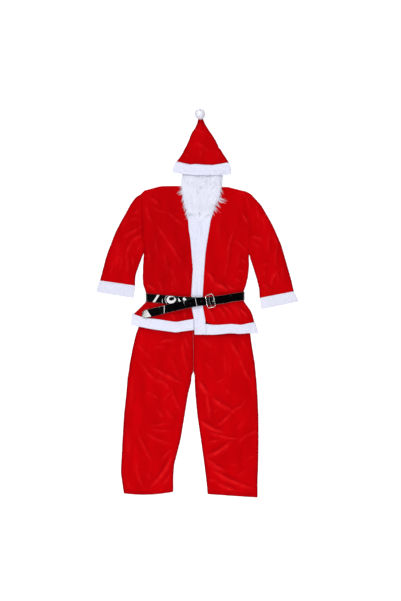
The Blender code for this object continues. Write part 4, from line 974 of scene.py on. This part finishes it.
hair_top = clearance(3.0)
t = np.linspace(0, 1, 7)[None, :]
column = (STRANDS, 1)
place = rng.uniform(0.01, 0.99, column)
start = 668 - 215 * rng.random(column) ** 0.85
length = rng.uniform(30, 85, column)
end_x = side_to_side(COMBED_LEFT, COMBED_RIGHT, start - length, place)
bottom = 460 + 0.42 * np.abs(end_x - 14) + 32 * rng.random(column) ** 1.1
end_y = np.maximum(start - length, np.minimum(bottom, start - 20))
y = start + (end_y - start) * t
drift = place + rng.normal(0, 0.045, column) * t
drift = drift + (0.5 - drift) * 0.12 * np.clip(np.abs(drift - 0.5) * 2 - 0.7, 0, 1)
x = side_to_side(COMBED_LEFT, COMBED_RIGHT, y, drift)
turns = rng.uniform(0.4, 1.3, column)
x = x + (rng.uniform(0.5, 3.6, column) * np.sqrt(t)
         * np.sin(2 * math.pi * (turns * t + rng.random(column))))
rise = rng.uniform(0.2, 1.0, column)
loft = 0.3 + 0.7 * smooth_step(start - 460, 110)
z = read_map(hair_top, x, y) - 0.9 + 2.4 * loft * rise * np.sin(math.pi * np.minimum(t * 1.1, 1))
z = z + (read_map(pile, x, y) + 0.2 - z) * smooth_step(t - 0.35, 0.6)
lines = [np.dstack([x, y, np.maximum(z, 0.8)])]
widths = [rng.uniform(1.3, 3.4, STRANDS) * loft[:, 0]]
deepness = shade_of(x, y, 0.06 * rng.random(column) ** 2)

for x0, y0, x1, y1, spread, half in SIDE_TUFTS:
    column = (2 * half, 1)
    fan, reach = rng.normal(0, 1, column), rng.uniform(0.72, 1.03, column)
    run = np.array([x1 - x0, y1 - y0])
    square = np.array([-run[1], run[0]]) / np.linalg.norm(run)
    sway = fan * spread * (0.35 + 0.65 * t) * 0.5
    sway = sway + rng.uniform(-1, 1, column) * 4.0 * np.sin(math.pi * t) * t
    x = x0 + run[0] * t * reach + square[0] * sway
    y = y0 + run[1] * t * reach + square[1] * sway
    lines.append(np.dstack([x, y, read_map(hair_top, x, y) + 0.5 + 1.6 * np.sin(math.pi * t)]))
    widths.append(rng.uniform(0.6, 1.5, 2 * half))
for table, way in ((BEARD_LEFT, -1), (BEARD_RIGHT, 1)):
    root, fall, out = (rng.uniform(*ends, (FRINGE, 1)).repeat(HAIRS, axis=0)
                       for ends in ((452, 606), (16, 36), (0, 38)))
    out = way * np.tan(np.radians(out + rng.normal(0, 5, out.shape)))
    y = root + rng.normal(0, 1.6, root.shape) - fall * t
    x = side_of(table, root) - way * rng.uniform(3, 7, root.shape) + out * fall * t ** 1.3
    lines.append(np.dstack([x, y, read_map(hair_top, x, y) + 0.4 + 1.4 * np.sin(math.pi * t)]))
    widths.append(rng.uniform(0.7, 1.6, len(root)))
lines, widths = np.concatenate(lines), np.concatenate(widths)
shade = np.pad(deepness, ((0, len(lines) - STRANDS), (0, 0)))
note_top(add_locks("beard_locks", "beard", lines, widths, shade, 0.55, hair("beard_lock_hair")))

# ---------------------------------------------------------------- hat
# A cone of velour with one seam, and a thick doubled band of plush sewn on all round as its
# brim. It lies flat, and the brim rests on the top of the beard.
CONE_CREASES = (
    (62, 772, -2, 812, 4, 3, 10), (40, 862, -22, 886, 3, 2.6, 10), (100, 800, 70, 850, 3, 2.4, 10),
    (-40, 742, -70, 770, 2, 2.6, 10), (20, 740, 30, 790, -3, 2.2, 11),
    (112, 738, 96, 776, 2, 2.6, 10), (6, 880, 22, 930, 2, 2, 8),
)
CONE_CORNERS = ((-109, 713.3), (160, 712.4), (25, 948.9), (9, 948.9))
CONE_SIDES = ((713, 3, 1), (722, 4, 6), (745, 4, 9), (765, 0, 8), (784, 0, 9), (790, 0, 4),
              (798, -1, 7), (830, 3, 7), (850, 6, 4), (870, 6, 6), (890, 1, 4), (910, 0, 2),
              (949, 0, 0))
BRIM_CORNERS = ((-112, 713), (166, 712), (176, 655), (-125, 664))
BRIM_TOP = ((-112, 0), (-100, 5), (-70, -1), (-36, -8), (-5, -5), (28, -8), (79, -10), (122, -4),
            (150, 1), (166, 0))
BRIM_EDGE = ((-125, 0), (-82, -5), (-36, -7), (2, -9), (55, -6), (92, -6), (122, -7), (150, -4),
             (176, 0))
plan = panel("hat_cone", CONE_CORNERS, (250, 3.6), (150, 3.4), 8.0)
stand_out(plan, CONE_SIDES)
cut = a, b, base, tip = spans(plan)
tucked = 1 - smooth_step(base, 26)
plan[..., 0] += 0.045 * tucked * (plan[..., 0] - 25.5)
plan[..., 1] -= 12.0 * tucked
x, y = plan[..., 0], plan[..., 1]
side = smooth_step(np.minimum(a, b), 20)
lift, painted_highlight, painted_shade = crease_field(x, y, CONE_CREASES)
low = GAP + 3.8 * (1 - smooth_step(base - 6, 16))
flat = low + 2 * VELOUR_THICK + 1.0 + 1.0 * side
high = swell("hat_cone", plan, flat, smooth_step(np.minimum(a, b), 34), 18.0)
high = high + (lift + 0.7 * wander(x, y)) * side * smooth_step(tip, 20) * smooth_step(base, 20)
# Painted shade on the cone just above the brim.
over_brim = np.maximum(y - 711 - side_of(BRIM_TOP, x), 0)
# The cone's red is darkened a little all over, as painted shade.
cloth_tube("hat_cone_of_velour", "hat_cone", plan, low, high, painted_highlight * side,
           np.maximum(painted_shade, 0.45 * np.exp(-over_brim / 5.0)), VELOUR_THICK,
           velour("hat_velour", 0.94), cut=cut)

plan = panel("hat_brim", BRIM_CORNERS, (60, 2.6, 7.0), (300, 3.2, 6.0), 8.0)
cut = _, _, upper, edge = spans(plan)
share = upper / (upper + edge)
plan[..., 1] += (1 - share) * side_of(BRIM_TOP, plan[..., 0])
plan[..., 1] += share * side_of(BRIM_EDGE, plan[..., 0])
x, y = plan[..., 0], plan[..., 1]
roll = 0.30 + 0.70 * np.minimum(ease(upper, 11.0), ease(edge, 11.0))
low = GAP + read_map(clearance(), x, y) * smooth_step(34 - edge, 20)
high = low + 15.0 * (0.42 + 0.58 * smooth_step(edge, 28))
high = high + ripple(x, y, (1.1, 40, 2), (0.7, 15, 6), (0.4, 7, 0))
middle = (low + high) / 2
cloth_tube("hat_brim_of_plush", "hat_brim", plan, middle - (middle - low) * roll,
           middle + (high - middle) * roll, 0 * x, 0 * x, 4.0, plush("brim_pile", clump=120.0),
           skip=2, cut=cut)

# ---------------------------------------------------------------- pompom
# A ball of soft white yarn, tied at its middle and sewn to the tip of the hat.
BALL = np.array([15.0, 958.5, 24.0])
BALL_RADIUS, HEART_RADIUS, ROOT_RADIUS = 28.5, 22.5, 17.0     # the tufts root in the heart
BALL_TUFTS = 1900
POMPOM_WHITE = (0.92, 0.92, 0.98)
bpy.ops.mesh.primitive_uv_sphere_add(segments=48, ring_count=32, radius=HEART_RADIUS * MM,
                                     location=BALL * MM)
core = bpy.context.object
bpy.ops.object.transform_apply(location=True, rotation=False, scale=False)
core.name = "pompom_heart"
core.data.shade_smooth()
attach(core, "root")
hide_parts("hat_pompom")
mark(core.data, "shade", np.full(len(core.data.vertices), 0.08))
dress(core, hair("pompom_heart_hair", POMPOM_WHITE))

n = np.arange(BALL_TUFTS) + 0.5
tilt = np.arccos(1 - 2 * n / BALL_TUFTS)
turn = math.pi * (1 + 5 ** 0.5) * n
aim = np.stack([np.cos(turn) * np.sin(tilt), np.sin(turn) * np.sin(tilt), np.cos(tilt)], axis=1)
aim = aim + rng.normal(0, 0.07, aim.shape)
aim /= np.linalg.norm(aim, axis=1, keepdims=True)
aim[:, 2] *= 0.86
out = np.linspace(0, 1, 5)[None, :, None]
reach = BALL_RADIUS * rng.uniform(0.90, 1.03, BALL_TUFTS)[:, None, None]
curl = np.cross(aim, rng.normal(0, 1, aim.shape))[:, None, :]
lines = BALL + aim[:, None, :] * (ROOT_RADIUS + (reach - ROOT_RADIUS) * out)
lines = lines + 2.6 * curl * out * out
lines[..., 2] = np.maximum(lines[..., 2], 1.0)
widths = rng.uniform(1.8, 3.2, BALL_TUFTS)
add_locks("pompom_tufts", "hat_pompom", lines, widths, 0.05 * rng.random((BALL_TUFTS, 5)), 0.8,
          hair("pompom_tuft_hair", POMPOM_WHITE))

# ---------------------------------------------------------------- belt over the front
# The same vinyl strap, unlined, comes round from both sides. The end on the wearer's right is
# sewn round the buckle's bar. The free end, with its punched holes, runs through the buckle and
# the keeper and hangs past them, still kinked from its packing.
BUCKLE = (68.0, 8.0)
KEEPER_X = -5.0
LEAN = math.tan(math.radians(13.0))          # how far the buckle leans over from square
ACROSS = 15
SEWN_AT_KEEPER, FREE_AT_KEEPER = 3.2, 5.4    # how high the two stretches run through it
BED_X = np.arange(-290.0, 256.0, 5.0)
BED_REACH = 9                     # the stiff strap's bed is evened out over this many places
# A kink is its place, slant and rise, and how far it falls off before and behind.
RIGHT_KINKS = ((-201, -0.6, 1.15, 12, 26), (-174, 0.0, 0.30, 3.4, 6), (-80, 0.85, 1.65, 17, 12))
TAIL_KINKS = ((-243, 0.60, 3.9, 42, 44), (-164, 0.0, 0.27, 3.1, 5), (-203, 0.3, 0.2, 6, 9),
              (-120, -0.3, 0.25, 6, 10), (170, 0.2, 0.3, 8, 8), (212, -0.3, 0.3, 7, 9))
# A blister is its place, its two half widths, its tilted height and the depth of its dent.
RIGHT_BLISTERS = ((-130, 15, 35, 29, 3.05, 2.2), (-61, 13, 13, 16, 1.2, 0))
TAIL_BLISTERS = ((-202, -38, 4, 3, 0.4, 0), (-128, -22, 4, 3, 0.4, 0), (-112, -43, 4, 3, 0.4, 0),
                 (-60, 2, 10, 9, 0.9, 0), (181, 7, 5, 4, 0.8, 0), (168, 38, 5, 4, 0.8, 0))


def flow(stations, step=1.5):
    """Points every step along a smooth line through a strap's stations."""
    p = np.array(stations, dtype=float)
    t = np.concatenate([[0], np.cumsum(np.hypot(np.diff(p[:, 0]), np.diff(p[:, 1])))])
    m = np.gradient(p, t, axis=0)
    at = np.linspace(0, t[-1], int(t[-1] / step) + 1)
    i = np.clip(np.searchsorted(t, at, side="right") - 1, 0, len(p) - 2)
    h = (t[i + 1] - t[i])[:, None]
    u = (at - t[i])[:, None] / h
    return ((1 + 2 * u) * (1 - u) ** 2 * p[i] + u * (1 - u) ** 2 * h * m[i]
            + u * u * (3 - 2 * u) * p[i + 1] + u * u * (u - 1) * h * m[i + 1])


def worn(x, y, aside, kinks, blisters):
    """Height of a strap's packing kinks and blisters, which the keeper and buckle press flat."""
    height = ripple(x, aside, (0.10, 26, 4))
    for at, slant, rise, front, back in kinks:
        off = x - at - slant * aside
        height += rise * np.clip(np.minimum(1 + off / front, 1 - off / back), 0, 1)
    for at_x, at_y, long, wide, tilt, dent in blisters:
        u, v = (x - at_x) / long, (y - at_y) / wide
        du, dv = u - 0.02, v - 0.15
        height += smooth_step(1 - np.hypot(u, v), 0.3) * (
            tilt * (1 + u) - dent * du * np.exp(-1.5 * du * du - 9 * dv * dv))
    height *= np.clip((abs(x - BUCKLE[0]) - 30) / 12, 0.12, 1)
    return height * np.clip((abs(x - KEEPER_X) - 8) / 12, 0.12, 1)


def lay_strap(name, node, stations, centre, kinks, blisters, slot_from=math.inf, holes=()):
    """A strap along stations of its underside, with kinks, a slot and punched round holes.

    A station is its place, its height, how far it leans and its share of the full width.
    """
    path = flow(stations)
    x, z, lean, share = (column[:, None] for column in path.T)
    aside = np.linspace(0.5, -0.5, ACROSS) * BELT_WIDTH * share
    y = centre(x) - aside
    lift = worn(x + 0 * aside, y, aside, kinks, blisters)
    rings = np.dstack([x + lean * aside, y, z + lift])
    middle = ACROSS // 2
    gone = np.zeros((len(path) - 1, ACROSS - 1), dtype=bool)
    late = np.arange(len(path) - 1) > len(path) * 0.6
    gone[late & (path[:-1, 0] > slot_from), middle - 1:middle + 1] = True
    for hole in holes:
        r = int(np.argmin(np.abs(path[:, 0] - hole)))
        gone[r - 1:r + 1, middle - 1:middle + 1] = True
        hub = rings[r, middle].copy()
        for dr, dc in ((-1, -1), (-1, 0), (-1, 1), (0, 1), (1, 1), (1, 0), (1, -1), (0, -1)):
            away = rings[r + dr, middle + dc] - hub
            rings[r + dr, middle + dc, :2] = (hub + away / np.linalg.norm(away) * 2.4)[:2]
    mesh = stitch(name, rings, gone=gone, turn=1)
    with opened(mesh) as build:
        loose = [v for v in build.verts if not v.link_faces]
        bmesh.ops.delete(build, geom=loose, context="VERTS")
    piece = add_piece(name, mesh, node)
    modify(piece, "Wall", "SOLIDIFY", thickness=STRAP_THICK * MM, offset=1.0)
    modify(piece, "Edge", "BEVEL", width=0.3 * MM, segments=1, limit_method="ANGLE",
           angle_limit=math.radians(50))
    dress(piece, vinyl(name + "_vinyl"))
    note_top(piece)


def stiff_bed(centre):
    """Heights of a smooth bed for the stiff strap, on or above all that lies below its line."""
    support = clearance(9.0)
    sides = np.linspace(-BELT_WIDTH / 2, BELT_WIDTH / 2, 9)
    heights = read_map(support, BED_X[:, None], centre(BED_X)[:, None] + sides).max(axis=1)
    far = [heights[max(i - BED_REACH, 0):i + BED_REACH + 1].max() for i in range(len(BED_X))]
    return np.convolve(np.pad(far, BED_REACH, mode="edge"), bell(BED_REACH), mode="valid") + 0.3


def taut(places, heights):
    """Heights of a stiff strap that rests on the highest points of its bed and spans the rest."""
    line = []
    for place, height in zip(places, heights):
        while len(line) > 1 and ((line[-1][1] - line[-2][1]) * (place - line[-1][0])
                                 <= (height - line[-1][1]) * (line[-1][0] - line[-2][0])):
            line.pop()
        line.append((place, height))
    return lambda x: float(np.interp(x, *zip(*line)))


def free_line(x):
    """The free end droops away from the belt's line, past the keeper."""
    return np.interp(
        x, (-279, -229, -189, -148, -107, -66, -30, kx, 20, bx, 97, 138, 178, 236, 241),
        (-61, -51, -41, -30, -20, -11, -3, 3, 6, BUCKLE[1] - 1, 12, 17, 25, 33, 33))


def bed_of(x):
    return float(np.interp(x, BED_X, bed_heights))


bar_z = sum(corner.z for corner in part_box("buckle_bar")) / 2 / MM
level = bar_z - 8.8               # the underside of the strap where it passes the buckle
bx, kx = BUCKLE[0], KEEPER_X
bed_heights = stiff_bed(belt_line)
rising = (-246, -28), (bed_of(-246), level + 0.6)
sewn = [(side_right - 3.0, 2.6, 0, 1), (side_right - 4.6, 3.8, 0, 1),
        (side_right - 4.9, 5.6, 0, 1), (side_right - 3.0, bed_of(-252) + 0.2, 0, 1)]
sewn += [(x, max(bed_of(x), np.interp(x, *rising)), 0, 1) for x in range(-246, -40, 14)]
sewn += [(kx - 28, max(bed_of(kx - 28), level + 0.9), LEAN / 2, 1)]
sewn += [(x, z, LEAN, 1) for x, z in (
    (kx - 5, level + SEWN_AT_KEEPER), (kx + 5, level + SEWN_AT_KEEPER), (kx + 18, level + 2.4),
    (bx - 36, level + 2.4), (bx - 14, level + 2.4), (bx - 5, bar_z - 1.0), (bx - 1.5, bar_z + 1.7),
    (bx + 0.6, bar_z + 1.9), (bx + 2.0, bar_z + 0.4), (bx + 1.4, bar_z - 1.7),
    (bx - 3.0, bar_z - 4.6), (bx - 9, level + 1.9), (bx - 30, level + 1.9))]
lay_strap("belt_sewn_end", "belt_front_right", sewn, belt_line, RIGHT_KINKS, RIGHT_BLISTERS,
          slot_from=bx - 8.0)

# The tail slopes evenly down from the keeper to where its tip rests.
tail_x = np.append(np.arange(-279.0, kx - 36, 5.0), kx - 32)
tail_bed = np.interp(tail_x[:-1], BED_X, stiff_bed(free_line))
tail_z = taut(tail_x, np.append(tail_bed, level + 5.0))
side_x = np.append(bx + 30, np.arange(bx + 36, 234.0, 5.0))
side_z = taut(side_x, np.append(level + 3.4, np.interp(side_x[1:], BED_X, bed_heights)))
free = [(x, tail_z(x), 0, share) for x, share in
        ((-279, 0.30), (-276, 0.62), (-270, 0.90), (-262, 1))]
free += [(x, tail_z(x), 0, 1) for x in range(-250, -50, 14)]
free += [(kx - 32, level + 5.0, LEAN / 2, 1)]
free += [(x, z, LEAN, 1) for x, z in (
    (kx - 8, level + FREE_AT_KEEPER), (kx + 12, level + FREE_AT_KEEPER),
    (bx - 36, level + 4.8), (bx - 16, level + 4.8),
    (bx - 8, bar_z + 1.9), (bx - 3, bar_z + 5.2), (bx + 3, bar_z + 5.2), (bx + 8.5, bar_z + 4.9),
    (bx + 15, level + 3.8), (bx + 26, level + 3.7))]
free += [(x, side_z(x), max(LEAN * (150 - x) / 50, 0), 1) for x in range(106, 232, 14)]
free += [(side_left + 2.0, bed_of(233) + 0.2, 0, 1), (side_left + 4.0, 5.6, 0, 1),
         (side_left + 3.6, 3.8, 0, 1), (side_left + 2.0, 2.6, 0, 1)]
lay_strap("belt_free_end", "belt_front_left", free, free_line, TAIL_KINKS, TAIL_BLISTERS,
          holes=(bx + 9.5, bx - 24, bx - 50, bx - 102, bx - 132))

# ---------------------------------------------------------------- buckle and keeper
# Bright nickel wire: a rounded frame with a bar across its middle and a loose prong, and a
# keeper bent from thinner wire that holds the two stretches together.
FRAME_WIDE, FRAME_LONG, FRAME_CORNER, FRAME_WIRE = 43.0, 69.0, 9.0, 3.3    # all outside
BAR_WIRE, PRONG_WIRE, PRONG_EYE = 3.0, 2.6, 3.5    # the eye is the prong's bend round the bar
KEEPER_WIRE, KEEPER_CORNER = 3.2, 3.4
KEEPER_ROOM, KEEPER_PLAY = 1.5, 10.4         # over and under the strap, and beside it
PRONG_TURNS = (310, 288, 265, 242, 220, 198, 175, 152, 130, 112, 95)


def nickel(name, polish):
    """Nickel plate with fine scratches and a little tarnish."""
    f = Finish(name)
    dull, scratches = 0.6 - polish, f.noise(900, 3)
    tarnish = f.ramp(f.noise(90, 4), 0, 1, (0.30, 0.29, 0.27), (0.86, 0.85, 0.83))
    rough = f.ramp(scratches, 0, 1, [dull] * 3, [dull + 0.2] * 3)
    return f.done(Base_Color=tarnish, Roughness=rough, Metallic=1.0,
                  Normal=f.bump(scratches, 0.00008, 0.4))


def metal(name, node, polish=0.46):
    """Make the newest object a piece of plated wire."""
    piece = bpy.context.object
    piece.name = piece.data.name = name
    bpy.ops.object.transform_apply(location=True, rotation=True, scale=True)
    piece.data.shade_smooth()
    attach(piece, "root")
    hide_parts(node)
    dress(piece, nickel(name + "_nickel", polish))


def wire_frame(wide, long, corner, wire, place, rotation):
    """A closed frame of round wire with round corners."""
    bpy.ops.mesh.primitive_plane_add(size=1.0)
    bpy.context.object.scale = ((wide - wire) * MM, (long - wire) * MM, 1)
    bpy.ops.object.transform_apply(location=False, rotation=False, scale=True)
    bpy.ops.object.mode_set(mode="EDIT")
    bpy.ops.mesh.select_all(action="SELECT")
    bpy.ops.mesh.delete(type="ONLY_FACE")
    bpy.ops.mesh.select_all(action="SELECT")
    bpy.ops.mesh.bevel(offset=(corner - wire / 2) * MM, segments=9, affect="VERTICES")
    bpy.ops.object.mode_set(mode="OBJECT")
    bpy.ops.object.convert(target="CURVE")
    ring = bpy.context.object
    ring.data.bevel_depth, ring.data.bevel_resolution = wire / 2 * MM, 5
    bpy.ops.object.convert(target="MESH")
    ring = bpy.context.object
    ring.rotation_euler = rotation
    ring.location = Vector(place) * MM


lean = math.atan(LEAN)
buckle_place = (*BUCKLE, bar_z)
wire_frame(FRAME_WIDE, FRAME_LONG, FRAME_CORNER, FRAME_WIRE, buckle_place, (0, 0, lean))
metal("buckle_wire_frame", "buckle_frame")

bar_long = FRAME_LONG - 2 * FRAME_WIRE + 1.0
bpy.ops.mesh.primitive_cylinder_add(vertices=24, radius=BAR_WIRE / 2 * MM, depth=bar_long * MM,
                                    location=Vector(buckle_place) * MM,
                                    rotation=(math.pi / 2, 0, lean))
metal("buckle_middle_bar", "buckle_bar")

prong_y = float(belt_line(bx))
bar_side = bx - (prong_y - BUCKLE[1]) * LEAN
turns = np.radians(PRONG_TURNS)
tongue = list(zip(bar_side + PRONG_EYE * np.cos(turns), PRONG_EYE * np.sin(turns)))
tongue += [(bx + 10, 3.5), (bx + 15, 3.8), (bx + 19, 3.8), (bx + 23, 3.4)]
curve = bpy.data.curves.new("prong_path", "CURVE")
curve.dimensions = "3D"
spline = curve.splines.new("POLY")
spline.points.add(len(tongue) - 1)
for point, (x, z) in zip(spline.points, tongue):
    point.co = (x * MM, prong_y * MM, (bar_z + z) * MM, 1)
    point.radius = 1.0 if x < bx + 18 else 0.75
curve.bevel_depth = PRONG_WIRE / 2 * MM
curve.bevel_resolution, curve.use_fill_caps = 4, True
bpy.ops.object.select_all(action="DESELECT")
prong = into_scene("prong_path", curve)
bpy.context.view_layer.objects.active = prong
prong.select_set(True)
bpy.ops.object.convert(target="MESH")
metal("buckle_tongue", "buckle_prong")

keeper_low = level + SEWN_AT_KEEPER - KEEPER_ROOM
keeper_high = level + FREE_AT_KEEPER + STRAP_THICK + KEEPER_ROOM
keeper_place = (KEEPER_X, float(belt_line(KEEPER_X)) - 1.0, (keeper_low + keeper_high) / 2)
wire_frame(BELT_WIDTH + KEEPER_PLAY, keeper_high - keeper_low + 3.4, KEEPER_CORNER, KEEPER_WIRE,
           keeper_place, (math.pi / 2, 0, math.pi / 2 + lean))
metal("strap_keeper", "belt_keeper", polish=0.1)
